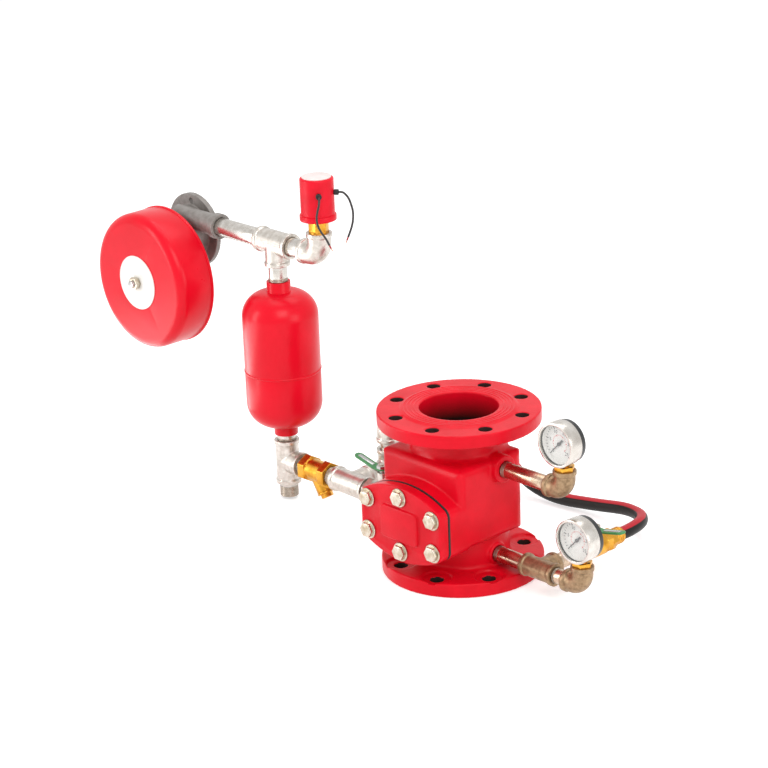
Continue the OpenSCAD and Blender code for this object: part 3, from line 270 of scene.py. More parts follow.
# Moulded rubber: nearly black, no gloss
RUBBER = Finish("black_moulded_rubber", "#161616", "#202020", roughness=(0.6, 0.75), blotch_mm=10)
# Turned stainless: clean grey with a soft lathe sheen
STEEL = Finish("turned_stainless_steel", "#BDBDBB", "#A4A4A2", metallic=1.0,
               roughness=(0.22, 0.34), blotch_mm=6)
# Bright zinc plate on pressed bolts, yellowed a little in patches
ZINC = Finish("bright_zinc_plate", "#D6D0C4", "#AC9C82", metallic=1.0, roughness=(0.22, 0.36), blotch_mm=7)
# Chrome of the gauge bezels: pale, with soft grey reflections
CHROME = Finish("brushed_chrome_plate", "#DAD6D0", "#BDB6AE", metallic=1.0,
                roughness=(0.2, 0.32), blotch_mm=16)
# Drawn pipe under a thin brownish zinc layer: bright streaks and tan patches
PLATED_PIPE = Finish("zinc_plated_steel_pipe", "#D8C6B2", "#A98A6E", metallic=1.0, roughness=(0.2, 0.32),
                     blotch_mm=8, grain_mm=2.5, grain_depth_mm=0.04)
# Malleable iron fittings, olive brown, with the bumpy skin of the mould
BROWN_CAST = Finish("browned_malleable_iron", "#AC9070", "#7E664C", metallic=0.8, roughness=(0.34, 0.5),
                    blotch_mm=6, grain_mm=2.0, grain_depth_mm=0.25)
# Hot dipped zinc on cast fittings: pale and slightly lumpy
GALVANISED = Finish("hot_dip_galvanised_iron", "#DAD5CE", "#B5ADA3", metallic=0.9, roughness=(0.26, 0.4),
                    blotch_mm=7, grain_mm=3.0, grain_depth_mm=0.22)
# Hot dipped zinc on smooth pipe
GALVANISED_PIPE = Finish("hot_dip_galvanised_pipe", "#D6D2CC", "#B2ACA4", metallic=0.95,
                         roughness=(0.2, 0.32), blotch_mm=9, grain_mm=4.0, grain_depth_mm=0.05)
# Cut thread: darker than the pipe, because oil and chips stay in the grooves
CUT_THREAD = Finish("oiled_cut_thread", "#B3A798", "#82766A", metallic=1.0,
                    roughness=(0.3, 0.45), blotch_mm=3)
# Forged brass: warm yellow, a little brown in patches
BRASS = Finish("forged_brass", "#E8B048", "#BC8024", metallic=1.0, roughness=(0.22, 0.36), blotch_mm=12,
               grain_mm=1.6, grain_depth_mm=0.08)
# Lacquered back ring of the gauges
BLACK_CASE = Finish("black_lacquered_steel", "#1B1B1C", "#262626", roughness=(0.3, 0.4), blotch_mm=9)
# White stove enamel on sheet: even, half matt
WHITE_PRINT = Finish("white_enamelled_aluminium", "#F0EEEA", "#E6E3DE", roughness=(0.4, 0.5), blotch_mm=14)
# Pale moulded nylon of the switch cap, tinted a little pink as a painted reflection of the red round it
NYLON_WITH_PAINTED_RED_REFLECTION = Finish("pale_moulded_nylon_with_painted_red_reflection", "#EBDDDA", "#DECECB", roughness=(0.42, 0.52), blotch_mm=9)
# Printed dial inks
BLACK_INK = Finish("black_dial_ink", "#202022", "#2E2E30", roughness=(0.5, 0.6), blotch_mm=2)
RED_INK = Finish("red_dial_ink", "#D9605A", "#CC4A48", roughness=(0.5, 0.6), blotch_mm=2)
# Dipped vinyl sleeve on the levers: soft gloss
GREEN_VINYL = Finish("green_dipped_vinyl", "#3E8E4E", "#2F7A42", roughness=(0.36, 0.48), blotch_mm=9)
# Extruded lead covers
LEAD_COVER = Finish("black_pvc_insulation", "#1C1A1A", "#272322", roughness=(0.4, 0.5), blotch_mm=6)
RED_CORE = Finish("red_pvc_insulation", "#B0202A", "#961A24", roughness=(0.4, 0.5), blotch_mm=3)
# Stripped wire ends
COPPER = Finish("stripped_copper_strand", "#D08A5C", "#B06C42", metallic=1.0,
                roughness=(0.25, 0.4), blotch_mm=1.5)
# Sand casting of the gong motor, painted warm grey
GREY_CAST = Finish("grey_painted_cast_aluminium", "#8F8A86", "#77716C", metallic=0.25, roughness=(0.38, 0.54),
                   blotch_mm=9, grain_mm=1.8, grain_depth_mm=0.2)


@dataclass(frozen=True)
class ShadedBoreCasting:
    """Enamelled casting whose bore goes over to a dark colour with depth: bare iron, with painted shade that
    deepens down the bore.

    Attributes:
        name: Common name of the material.
        paint: Finish of the outside.
        bare: Colour of the bare iron, darkened further as painted shade of the bore.
        bore_mm: Radius within which the surface is inside the bore.
        fade_mm: Heights between which the paint gives way to the dark iron and its painted shade.
    """

    name: str = "red_enamel_over_iron_bore_with_painted_shade"
    paint: Finish = RED_ENAMEL
    bare: str = "#241512"
    bore_mm: Pair = (58.5, 60.0)
    fade_mm: Pair = (192.0, 224.0)

    def make(self) -> Material:
        """Builds the material.

        Returns:
            The paint's material with the bore darkened on Object coordinates.
        """
        mat = self.paint.make()
        mat.name = self.name
        tree = mat.node_tree
        shader = tree.nodes["Principled BSDF"]
        painted = shader.inputs["Base Color"].links[0].from_socket
        axes = add_node(tree, "SeparateXYZ", Vector=object_place(tree))
        flat = add_node(tree, "CombineXYZ", X=axes.outputs["X"], Y=axes.outputs["Y"])
        radius = add_node(tree, "VectorMath", {"operation": "LENGTH"}, Vector=flat.outputs["Vector"])
        # Painted shade: inside the bore's radius the colour turns dark towards the depth of the bore
        inside, deep = (ranged(tree, value, (low * MM, high * MM), (1.0, 0.0)) for value, (low, high) in (
            (radius.outputs["Value"], self.bore_mm), (axes.outputs["Z"], self.fade_mm)))
        share = add_node(tree, "Math", {"operation": "MULTIPLY"}, i0=inside, i1=deep).outputs["Value"]
        set_inputs(tree, shader, Base_Color=mixed(tree, share, painted, linear(self.bare)))
        return mat


@dataclass(frozen=True)
class LensGlass:
    """Clear window glass of the gauges: almost no tint, a smooth polished face."""

    name: str = "clear_gauge_glass"
    tint: str = "#F4F8F7"

    def make(self) -> Material:
        """Builds the material."""
        mat, tree, shader = start_material(self.name)
        set_inputs(tree, shader, Base_Color=linear(self.tint), Alpha=0.1, Roughness=0.03, IOR=GLAZE_IOR)
        return mat


@dataclass(frozen=True)
class BandedHose:
    """Extruded hose rubber with a coloured band along its upper side.

    Attributes:
        name: Common name of the material.
        rubber: Colour of the cover.
        band: Colour of the band.
        edge: Start and end of the band's edge on the upper side.
        cloth_mm: Size of the cloth pattern under the cover.
        cloth_depth_mm: Depth of that pattern.
    """

    name: str = "black_hose_rubber_with_red_band"
    rubber: str = "#120E0B"
    band: str = "#B4202C"
    edge: Pair = (0.84, 0.89)
    cloth_mm: float = 1.6
    cloth_depth_mm: float = 0.1

    def make(self) -> Material:
        """Builds the material.

        Returns:
            The material, whose band follows the hose through its point attribute.
        """
        mat, tree, shader = start_material(self.name)
        side = add_node(tree, "Attribute", {"attribute_name": UPPER_SIDE}).outputs["Fac"]
        share = ranged(tree, side, self.edge)
        set_inputs(tree, shader, Base_Color=mixed(tree, share, linear(self.rubber), linear(self.band)),
                   Normal=grain(tree, object_place(tree), self.cloth_mm, self.cloth_depth_mm, 0.5),
                   Roughness=0.45, Specular_IOR_Level=0.25)
        return mat


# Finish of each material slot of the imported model
SLOT_FINISHES: Dict[str, object] = {
    "red_paint": RED_ENAMEL, "bronze": BRONZE, "rubber": RUBBER, "steel": STEEL, "zinc": ZINC,
    "brown_pipe": BROWN_CAST, "galvanised": GALVANISED, "brass": BRASS, "black_case": BLACK_CASE,
    "white_print": WHITE_PRINT, "lens_glass": LensGlass(), "green_paint": GREEN_VINYL,
    "hose_rubber": BandedHose(), "red_plastic": RED_PLASTIC, "lead_cover": LEAD_COVER,
    "grey_cast": GREY_CAST,
}
# Nodes whose finish differs from the one of their slot
NODE_FINISHES: Dict[str, Finish] = {
    "chamber_upper_shell": RED_SHEET, "chamber_lower_shell": RED_SHEET, "gong_bell": RED_SHEET,
    "small_nipples": PLATED_PIPE, "large_nipples": GALVANISED_PIPE, "gong_pipe": GALVANISED_PIPE,
    # The switch cap's pink tint is a painted reflection of the red round it
    "switch_cap": NYLON_WITH_PAINTED_RED_REFLECTION, "gauge_bezels": CHROME,
}


class Palette:
    """Makes each finish once and hands out its material."""

    def __init__(self) -> None:
        """Starts with no material made."""
        self._made: Dict[str, Material] = {}

    def get(self, finish: object) -> Material:
        """Gives the material of a finish.

        Args:
            finish: A finish with a name and a make method.

        Returns:
            The material, the same one on each call.
        """
        if finish.name not in self._made:
            self._made[finish.name] = finish.make()
        return self._made[finish.name]

    def dress(self, piece: Piece, finish: object) -> None:
        """Gives a piece one material all over."""
        piece.data.materials.clear()
        piece.data.materials.append(self.get(finish))


PALETTE = Palette()


def new_piece(piece: Piece, name: str, finish: object, body: Body = Body.FRAME,
              replaces: Sequence[str] = ()) -> Piece:
    """Names, dresses and fastens a new piece.

    Args:
        piece: The finished object, at the origin.
        name: Its name.
        finish: Its finish.
        body: The body that carries it.
        replaces: CAD nodes that it stands for.

    Returns:
        The same piece.
    """
    piece.name = name
    piece.data.name = name
    PALETTE.dress(piece, finish)
    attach(piece, body.value)
    if replaces:
        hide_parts(*replaces)
    LOG.info("piece %s on %s", name, body.value)
    return piece


def deselect_all() -> None:
    """Clears the selection, so that an operator touches only what is picked after it."""
    bpy.ops.object.select_all(action="DESELECT")


def activate(piece: Piece) -> None:
    """Selects one piece alone and makes it the active one."""
    deselect_all()
    piece.select_set(True)
    bpy.context.view_layer.objects.active = piece


@contextmanager
def editing() -> Iterator[None]:
    """Holds the active piece in edit mode, with everything selected at the start."""
    bpy.ops.object.mode_set(mode="EDIT")
    bpy.ops.mesh.select_all(action="SELECT")
    yield
    bpy.ops.object.mode_set(mode="OBJECT")


def settle(piece: Piece, place_mm: Point, turn: Sequence[float]) -> Piece:
    """Turns and moves the active piece and writes that into its mesh."""
    piece.rotation_euler = turn
    piece.location = Vector(place_mm) * MM
    bpy.ops.object.transform_apply()
    return piece


def lay(piece: Piece, place_mm: Point, axis: Point = UP) -> Piece:
    """Moves a piece made along Z to its place.

    Args:
        piece: The piece, made round the origin.
        place_mm: Where its origin goes.
        axis: Direction that its Z takes.

    Returns:
        The same piece.
    """
    activate(piece)
    return settle(piece, place_mm, Vector(axis).to_track_quat("Z", "Y").to_euler())


def copy_of(piece: Piece) -> Piece:
    """Copies a piece with a mesh of its own."""
    activate(piece)
    bpy.ops.object.duplicate()
    return bpy.context.object


def joined(pieces: Sequence[Piece]) -> Piece:
    """Joins pieces into the first one."""
    activate(pieces[0])
    for piece in pieces:
        piece.select_set(True)
    bpy.ops.object.join()
    return bpy.context.object


def turned(profile_mm: Profile, sides: int = 48) -> Piece:
    """Turns a piece as on a lathe: a circle is drawn from ring to ring along Z.

    Args:
        profile_mm: Radius and height of each ring. A profile that ends where it starts gives a ring,
            any other one gets a flat cap at each end.
        sides: Sides of the circle.

    Returns:
        The closed piece, round the Z axis.
    """
    deselect_all()
    radius, height = profile_mm[0]
    is_ring = tuple(profile_mm[0]) == tuple(profile_mm[-1])
    bpy.ops.mesh.primitive_circle_add(vertices=sides, radius=radius * MM, location=(0, 0, height * MM))
    bpy.ops.object.transform_apply()
    with editing():
        for (r0, h0), (r1, h1) in zip(profile_mm, profile_mm[1:]):
            bpy.ops.mesh.extrude_region_move(TRANSFORM_OT_translate={"value": (0, 0, (h1 - h0) * MM)})
            if r1 != r0:
                bpy.ops.transform.resize(value=(r1 / r0, r1 / r0, 1.0), center_override=(0, 0, h1 * MM))
        bpy.ops.mesh.select_all(action="SELECT")
        if is_ring:
            bpy.ops.mesh.remove_doubles(threshold=WELD)
        else:
            bpy.ops.mesh.fill_holes(sides=0)
        bpy.ops.mesh.normals_make_consistent(inside=False)
    bpy.ops.object.shade_smooth_by_angle(angle=SMOOTH_ANGLE)
    return bpy.context.object


def plate(size_mm: Point, edge_mm: float, segments: int = 2) -> Piece:
    """Makes a flat bar with rounded edges round the origin.

    Args:
        size_mm: Size along X, Y and Z.
        edge_mm: Rounding of its edges.
        segments: Faces across the rounding.

    Returns:
        The bar.
    """
    deselect_all()
    bpy.ops.mesh.primitive_cube_add(size=1.0)
    bpy.ops.transform.resize(value=Vector(size_mm) * MM)
    bpy.ops.object.transform_apply()
    with editing():
        bpy.ops.mesh.bevel(offset=edge_mm * MM, segments=segments, affect="EDGES")
    bpy.ops.object.shade_smooth_by_angle(angle=SMOOTH_ANGLE)
    return bpy.context.object


def free_copy(node: str) -> Piece:
    """Copies a CAD node, frees the copy from its body and merges its loose triangles.

    Args:
        node: The CAD node.

    Returns:
        The copy, which is the active object.
    """
    copy = copy_of(frame["nodes"][node])
    for key in [name for name in copy.keys() if name.startswith("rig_")]:
        del copy[key]
    copy.parent = None
    bpy.ops.mesh.customdata_custom_splitnormals_clear()
    with editing():
        bpy.ops.mesh.remove_doubles(threshold=WELD)
    return copy


def apply_modifier(piece: Piece, kind: str, **settings: object) -> None:
    """Adds a modifier to the active piece and applies it.

    Args:
        piece: The piece, which is the active one.
        kind: Type of the modifier.
        settings: Its settings.
    """
    modifier = piece.modifiers.new(kind.lower(), kind)
    for name, value in settings.items():
        setattr(modifier, name, value)
    bpy.ops.object.modifier_apply(modifier=modifier.name)


def node_slot(node: str) -> str:
    """Gives the material slot of a CAD node."""
    return next(row["material_slot"] for row in frame["record"]["subparts"] if row["node"] == node)


def node_finish(node: str) -> object:
    """Gives the finish of a CAD node: its own one, or the one of its slot."""
    return NODE_FINISHES.get(node, SLOT_FINISHES[node_slot(node)])


def stand_in(piece: Piece, prefix: str, node: str, body: Body = Body.FRAME) -> None:
    """Puts a piece in the place of a CAD node, with that node's finish and slot."""
    new_piece(piece, prefix + node, node_finish(node), body, replaces=(node,))


def round_nodes(widths_mm: Widths, segments: int = 2, body: Body = Body.FRAME) -> None:
    """Replaces CAD nodes by copies whose sharp edges are rounded, as on a pressed or turned piece.

    Args:
        widths_mm: Width of the rounding of each node.
        segments: Faces across a rounding.
        body: The body of these nodes.
    """
    for node, width in widths_mm.items():
        copy = free_copy(node)
        with editing():
            bpy.ops.mesh.dissolve_limited(angle_limit=FLAT_ANGLE)
        apply_modifier(copy, "BEVEL", width=width * MM, segments=segments, limit_method="ANGLE",
                       angle_limit=SHARP_ANGLE, use_clamp_overlap=False)
        bpy.ops.object.shade_smooth_by_angle(angle=SMOOTH_ANGLE)
        stand_in(copy, "rounded_", node, body)


@dataclass(frozen=True)
class Skin:
    """Soft skin of a sand casting.

    Attributes:
        cell_mm: Size of its cells.
        rounds: How often it is smoothed.
        triangles: Most triangles that it keeps.
    """

    cell_mm: float
    rounds: int
    triangles: int

    def cover(self, node: str, extra: Sequence[Piece] = ()) -> Piece:
        """Copies a CAD node and gives the copy this skin.

        Args:
            node: The CAD node.
            extra: Pieces that the skin takes in.

        Returns:
            The copy, no longer tied to the node.
        """
        copy = joined([free_copy(node), *extra])
        apply_modifier(copy, "REMESH", mode="VOXEL", voxel_size=self.cell_mm * MM)
        apply_modifier(copy, "SMOOTH", factor=0.5, iterations=self.rounds)
        share = self.triangles / (2 * len(copy.data.polygons))
        if share < 1.0:
            apply_modifier(copy, "DECIMATE", ratio=share)
        bpy.ops.object.shade_smooth()
        return copy

    def cast(self, *nodes: str) -> None:
        """Replaces CAD nodes by copies with this skin."""
        for node in nodes:
            stand_in(self.cover(node), "cast_", node)


@dataclass
class ValveCasting:
    """Valve body and cover: soft edged sand castings, with bare iron in the bolt holes.

    Attributes:
        skin: Skin of the body.
        widths_mm: Rounding of the cover's edges and the bolt heads.
        hole_circle_mm: Radius of the circle of the flange holes.
        hole_r_mm: Radius of a flange hole and a little more.
        hole_z_mm: Height of the lower flange and underside of the upper one.
        holes: Holes of a flange.
        steep: Greatest Z of the normal of a hole's wall.
        ring_radii_mm: Radii of the ridges on the upper flange's raised face.
        ring_mm: Rings of a ridge, about its own radius and the face's height.
        face_z_mm: Height of the raised face.
        bolt_places_mm: Middle of each bolt head on the cover's face.
        washer_mm: Rings of a washer.
    """

    skin: Skin = Skin(1.2, 12, 190000)
    widths_mm: Widths = table(access_cover=1.6, cover_bolts=1.3)
    hole_circle_mm: float = 90.0
    hole_r_mm: float = 9.4
    hole_z_mm: Pair = (20.5, 209.5)
    holes: int = 8
    steep: float = 0.5
    ring_radii_mm: Tuple[float, ...] = (59.5, 64.5, 69.5, 74.5)
    ring_mm: Profile = ((-1.3, -0.6), (-1.2, 0.1), (-0.6, 0.45), (0.6, 0.45), (1.2, 0.1), (1.3, -0.6),
                        (-1.3, -0.6))
    face_z_mm: float = 230.0
    bolt_places_mm: Tuple[Point, ...] = (
        (-61, -114, 117.5), (61, -114, 117.5), (-61, -114, 71.5), (61, -114, 71.5), (0, -114, 133),
        (0, -114, 56))
    washer_mm: Profile = ((6.4, 0.0), (12.4, 0.0), (12.9, 0.5), (12.9, 1.7), (12.3, 2.3), (6.4, 2.3),
                          (6.4, 0.0))

    def build(self) -> None:
        """Builds the body, the cover, the bolts and their washers."""
        body = self.skin.cover("valve_body")
        # The bore of the body is darkened with depth: painted shade over bare iron
        new_piece(body, "cast_valve_body", ShadedBoreCasting(), replaces=("valve_body",))
        self._bare_holes(body)
        ridges = [turned([(radius + r, h) for r, h in self.ring_mm], RING_SIDES)
                  for radius in self.ring_radii_mm]
        new_piece(lay(joined(ridges), (0, 0, self.face_z_mm)), "upper_face_ridges", RED_ENAMEL)
        round_nodes(self.widths_mm, 3)
        pattern = turned(self.washer_mm)
        washers = [lay(copy_of(pattern), spot, FORWARD) for spot in self.bolt_places_mm]
        bpy.data.objects.remove(pattern)
        new_piece(joined(washers), "cover_washers", ZINC)

    def _bare_holes(self, body: Piece) -> None:
        """Gives the walls of the bolt holes the finish of bare iron.

        Args:
            body: The body's piece.
        """
        body.data.materials.append(PALETTE.get(BARE_IRON))
        low, high = (z * MM for z in self.hole_z_mm)
        pitch = 2 * math.pi / self.holes
        for face in body.data.polygons:
            spot = Vector((face.center.x, face.center.y, 0.0))
            turn = (round(math.atan2(spot.y, spot.x) / pitch - 0.5) + 0.5) * pitch
            hole = Vector((math.cos(turn), math.sin(turn), 0.0)) * self.hole_circle_mm * MM
            in_flange = face.center.z < low or face.center.z > high
            in_hole = (spot - hole).length < self.hole_r_mm * MM
            if in_flange and in_hole and abs(face.normal.z) < self.steep:
                face.material_index = 1


@dataclass
class Gauges:
    """The two pressure gauges: rounded cases with pressed backs, and printed dials.

    Attributes:
        widths_mm: Rounding of the edges of each node.
        centres_mm: X and Z of the middle of each dial.
        dial_y_mm: Front of the dials.
        ink_mm: Height of the printing.
        ink_edge_mm: Rounding of a mark's edges.
        mark_widths_mm: Width of a mark at a number and between numbers.
        black_mm: Outer radius, long and short length of the black marks.
        red_mm: The same of the red marks.
        start_deg: Angle of the first mark, from +X.
        sweep_deg: Angle from the first mark to the last one.
        numbers: Numbers of the scale.
        steps: Small steps between two numbers.
        number_r_mm: Radius of the numbers.
        number_mm: Height of the numbers.
        liner_mm: Rings of the pale liner between dial and glass.
        back_y_mm: Back of the cases.
        back_mm: Rings of the pressed back with its blow-out plug.
    """

    widths_mm: Widths = table(gauge_bezels=0.7, gauge_cases=0.9, gauge_bushings=0.6)
    centres_mm: Dict[str, Pair] = field(default_factory=lambda: {
        "upper": (190.0, 227.0), "lower": (219.0, 102.0)})
    dial_y_mm: float = -8.0
    ink_mm: float = 0.12
    ink_edge_mm: float = 0.04
    mark_widths_mm: Pair = (1.2, 0.7)
    black_mm: Point = (24.2, 4.2, 2.6)
    red_mm: Point = (12.4, 2.4, 1.6)
    start_deg: float = 225.0
    sweep_deg: float = 270.0
    numbers: Tuple[str, ...] = ("0", "5", "10", "15", "20", "25")
    steps: int = 5
    number_r_mm: float = 16.4
    number_mm: float = 6.4
    liner_mm: Profile = ((24.9, 0.1), (26.35, 0.1), (26.35, 4.8), (25.7, 4.8), (24.9, 0.1))
    back_y_mm: float = 10.0
    back_mm: Profile = ((25.0, -0.3), (24.7, 0.6), (24.0, 1.0), (21.8, 1.0), (20.9, 0.2), (9.0, 0.2),
                        (8.6, 1.1), (7.8, 1.5))

    def build(self) -> None:
        """Builds the cases and prints both dials."""
        round_nodes(self.widths_mm)
        for name, (x, z) in self.centres_mm.items():
            liner = lay(turned(self.liner_mm, DIAL_SIDES), (x, self.dial_y_mm, z), FORWARD)
            new_piece(liner, name + "_dial_liner", WHITE_PRINT)
            back = lay(turned(self.back_mm, DIAL_SIDES), (x, self.back_y_mm, z), ALONG_Y)
            new_piece(back, name + "_case_back", BLACK_CASE)
            black = self._marks((x, z), self.black_mm) + self._numbers((x, z))
            new_piece(joined(black), name + "_dial_scale", BLACK_INK)
            red = self._marks((x, z), self.red_mm)
            new_piece(joined(red), name + "_dial_red_scale", RED_INK)

    def _marks(self, centre: Pair, scale_mm: Point) -> List[Piece]:
        """Makes the marks of one scale.

        Args:
            centre: X and Z of the dial.
            scale_mm: Outer radius, long and short length of the marks.

        Returns:
            One bar for each mark.
        """
        outer, *lengths = scale_mm
        patterns = [plate((width, self.ink_mm, length), self.ink_edge_mm, 1)
                    for width, length in zip(self.mark_widths_mm, lengths)]
        marks: List[Piece] = []
        count = (len(self.numbers) - 1) * self.steps
        for k in range(count + 1):
            angle = math.radians(self.start_deg - self.sweep_deg * k / count)
            kind = 0 if k % self.steps == 0 else 1
            spot = self._spot(centre, outer - lengths[kind] / 2, angle)
            marks.append(settle(copy_of(patterns[kind]), spot, (0.0, math.pi / 2 - angle, 0.0)))
        for pattern in patterns:
            bpy.data.objects.remove(pattern)
        return marks

    def _numbers(self, centre: Pair) -> List[Piece]:
        """Makes the numbers of the scale.

        Args:
            centre: X and Z of the dial.

        Returns:
            One mesh for each number.
        """
        made: List[Piece] = []
        for k, word in enumerate(self.numbers):
            angle = math.radians(self.start_deg - self.sweep_deg * k / (len(self.numbers) - 1))
            deselect_all()
            bpy.ops.object.text_add()
            text = bpy.context.object
            text.data.body = word
            text.data.size = self.number_mm * MM
            text.data.align_x = text.data.align_y = "CENTER"
            text.data.extrude = self.ink_mm / 2 * MM
            bpy.ops.object.convert(target="MESH")
            spot = self._spot(centre, self.number_r_mm, angle)
            made.append(settle(bpy.context.object, spot, (math.pi / 2, 0.0, 0.0)))
        return made

    def _spot(self, centre: Pair, radius_mm: float, angle: float) -> Point:
        """Gives a point on a dial, in millimetres."""
        return (centre[0] + radius_mm * math.cos(angle), self.dial_y_mm - self.ink_mm / 2,
                centre[1] + radius_mm * math.sin(angle))


@dataclass(frozen=True)
class CutThread:
    """Stretch of thread that shows beside a fitting.

    Attributes:
        pipe_mm: Outside diameter of the pipe.
        slot: Material slot; not used.
        sink_mm: How far the roots lie below the pipe's surface.
        wall_mm: Thickness below the roots.
        depth_mm: Height of the crests above the roots.
        pitch_mm: Distance between crests, coarser than on the real pipe so that it shows.
        crest: Start and end of a crest, in pitches.
    """

    pipe_mm: float
    slot: str
    sink_mm: float = 0.05
    wall_mm: float = 1.0
    depth_mm: float = 0.4
    pitch_mm: float = 1.9
    crest: Pair = (0.4, 0.6)

    def build(self, name: str, place_mm: Point, axis: Point, length_mm: float) -> None:
        """Builds the thread as a ring of ridges.

        Args:
            name: Name of the piece, without its ending.
            place_mm: Start of the thread on the pipe's axis.
            axis: Direction of the thread.
            length_mm: Length that shows.
        """
        root = self.pipe_mm / 2 - self.sink_mm
        bore = root - self.wall_mm
        turns = max(2, round(length_mm / self.pitch_mm))
        step = length_mm / turns
        rings: List[Pair] = [(bore, 0.0), (root, 0.0)]
        for k in range(turns):
            rings += [(root + self.depth_mm, (k + share) * step) for share in self.crest]
            rings.append((root, (k + 1) * step))
        rings += [(bore, length_mm), (bore, 0.0)]
        new_piece(lay(turned(rings), place_mm, axis), name + "_thread", CUT_THREAD)


# Threads of each pipe: name, start, direction and length
SMALL_THREADS = (
    ("upper_boss", (84, 0, 161), ALONG_X, 6.5), ("upper_elbow", (157.5, 0, 161), ALONG_X, 4.5),
    ("lower_boss", (68, 0, 36), ALONG_X, 6.5), ("test_tee_in", (112.5, 0, 36), ALONG_X, 4.5),
    ("test_tee_out", (173, 0, 36), ALONG_X, 4.0), ("lower_elbow", (187, 0, 36), ALONG_X, 4.0),
    ("test_branch", (145, 28, 36), ALONG_Y, 5.0), ("test_valve", (145, 79, 36), ALONG_Y, 5.0))
LARGE_THREADS = (
    ("strainer_right", (-263, 0, 58), ALONG_X, 11.0), ("strainer_left", (-324, 0, 58), ALONG_X, 7.0),
    ("chamber_foot", (-357, 0, 91), UP, 3.6), ("chamber_head", (-357, 0, 330), UP, 5.5),
    ("switch_line", (-324, 0, 386), ALONG_X, 5.5), ("gong_line", (-396, 0, 386), ALONG_X, 6.0))
DRAIN_THREADS = (("drain", (-357, 0, 5.0), UP, 14.5),)
THREADS = {CutThread(21.3, "brown_pipe"): SMALL_THREADS, CutThread(26.7, "galvanised"): LARGE_THREADS,
           CutThread(26.0, "galvanised"): DRAIN_THREADS}


@dataclass
class Pipework:
    """Fittings, nipples and ball valves, with the threads that show beside the fittings.

    Attributes:
        fitting_skin: Skin of the cast fittings.
        small_skin: Skin of the small castings and the ball valves.
        wall_mm: Size of the bars that thicken a ball valve's barrel beside its ball.
        wall_edge_mm: Rounding of those bars.
        turned_mm: Rounding of the pipe ends and turned pieces.
        lever_mm: Rounding of the lever sleeves.
        strip_mm: Size of the bare strip on a lever.
        strip_edge_mm: Rounding of that strip.
        strip_tilt_deg: Slope of the lever.
        strip_out_mm: Middle of the strip from the stem.
        strip_rise_mm: Middle of the strip above the lever's underside.
        nut_mm: Rings of the nut that holds a lever.
    """

    fitting_skin: Skin = Skin(0.7, 5, 40000)
    small_skin: Skin = Skin(0.6, 5, 40000)
    wall_mm: Point = (20.0, 6.0, 1.8)
    wall_edge_mm: float = 0.4
    turned_mm: Widths = table(strainer_cap=0.9, small_nipples=0.5, large_nipples=0.5, gong_pipe=0.5,
                              hose_tails=0.6)
    lever_mm: float = 1.2
    strip_mm: Point = (30.0, 6.0, 0.9)
    strip_edge_mm: float = 0.35
    strip_tilt_deg: float = 13.0
    strip_out_mm: float = 31.0
    strip_rise_mm: float = 7.5
    nut_mm: Profile = ((5.6, 3.0), (6.4, 3.4), (6.4, 6.6), (5.6, 7.2), (3.2, 7.2), (3.2, 8.4), (2.6, 8.9))

    def build(self) -> None:
        """Builds the fittings, the threads and the levers."""
        self.fitting_skin.cast("test_tee", "alarm_tee", "pipe_elbows", "drain_tee", "upper_tee")
        self.small_skin.cast("gauge_elbows", "strainer_body")
        self._valve_body("alarm_valve_body", (-156.0, 0.0, 58.0), 0.0, 18.45)
        self._valve_body("test_valve_body", (145.0, 106.0, 36.0), math.pi / 2, 15.45)
        round_nodes(self.turned_mm)
        for thread, rows in THREADS.items():
            for row in rows:
                thread.build(*row)
        levers = (("alarm", Body.ALARM_LEVER, (-156.0, 0.0, 96.0)),
                  ("test", Body.TEST_LEVER, (145.0, 106.0, 58.0)))
        for line, body, _ in levers:
            round_nodes({line + "_valve_lever": self.lever_mm}, 3, body)
        for lever in levers:
            self._strip(*lever)

    def _valve_body(self, node: str, centre_mm: Point, turn: float, barrel_mm: float) -> None:
        """Builds the body of a ball valve, its barrel closed beside the ball.

        Args:
            node: The body's CAD node.
            centre_mm: Middle of the ball.
            turn: Angle of the flow from +X.
            barrel_mm: Radius of the barrel's outside, at the bars.
        """
        bars = []
        spot = Vector((0.0, 0.0, barrel_mm - self.wall_mm[2] / 2))
        for corner in range(4):
            tilt = Euler((math.pi / 4 + corner * math.pi / 2, 0.0, turn))
            place = Vector(centre_mm) + tilt.to_matrix() @ spot
            bars.append(settle(plate(self.wall_mm, self.wall_edge_mm, 1), place, tilt))
        stand_in(self.small_skin.cover(node, bars), "cast_", node)

    def _strip(self, line: str, body: Body, stem_mm: Point) -> None:
        """Lays the bare strip on the top of a lever and adds the lever's nut.

        Args:
            line: The line that the lever shuts.
            body: The lever's body.
            stem_mm: Point on the stem's axis at the lever's underside.
        """
        node = line + "_valve_lever"
        low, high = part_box(node)
        side = 1.0 if high.x + low.x > 2 * stem_mm[0] * MM else -1.0
        place = Vector(stem_mm) + Vector((side * self.strip_out_mm, 0.0, self.strip_rise_mm))
        strip = settle(plate(self.strip_mm, self.strip_edge_mm), place,
                       (0.0, -side * math.radians(self.strip_tilt_deg), 0.0))
        new_piece(strip, line + "_lever_strip", STEEL, body)
        new_piece(lay(turned(self.nut_mm, NUT_SIDES), stem_mm), line + "_lever_nut", ZINC, body)


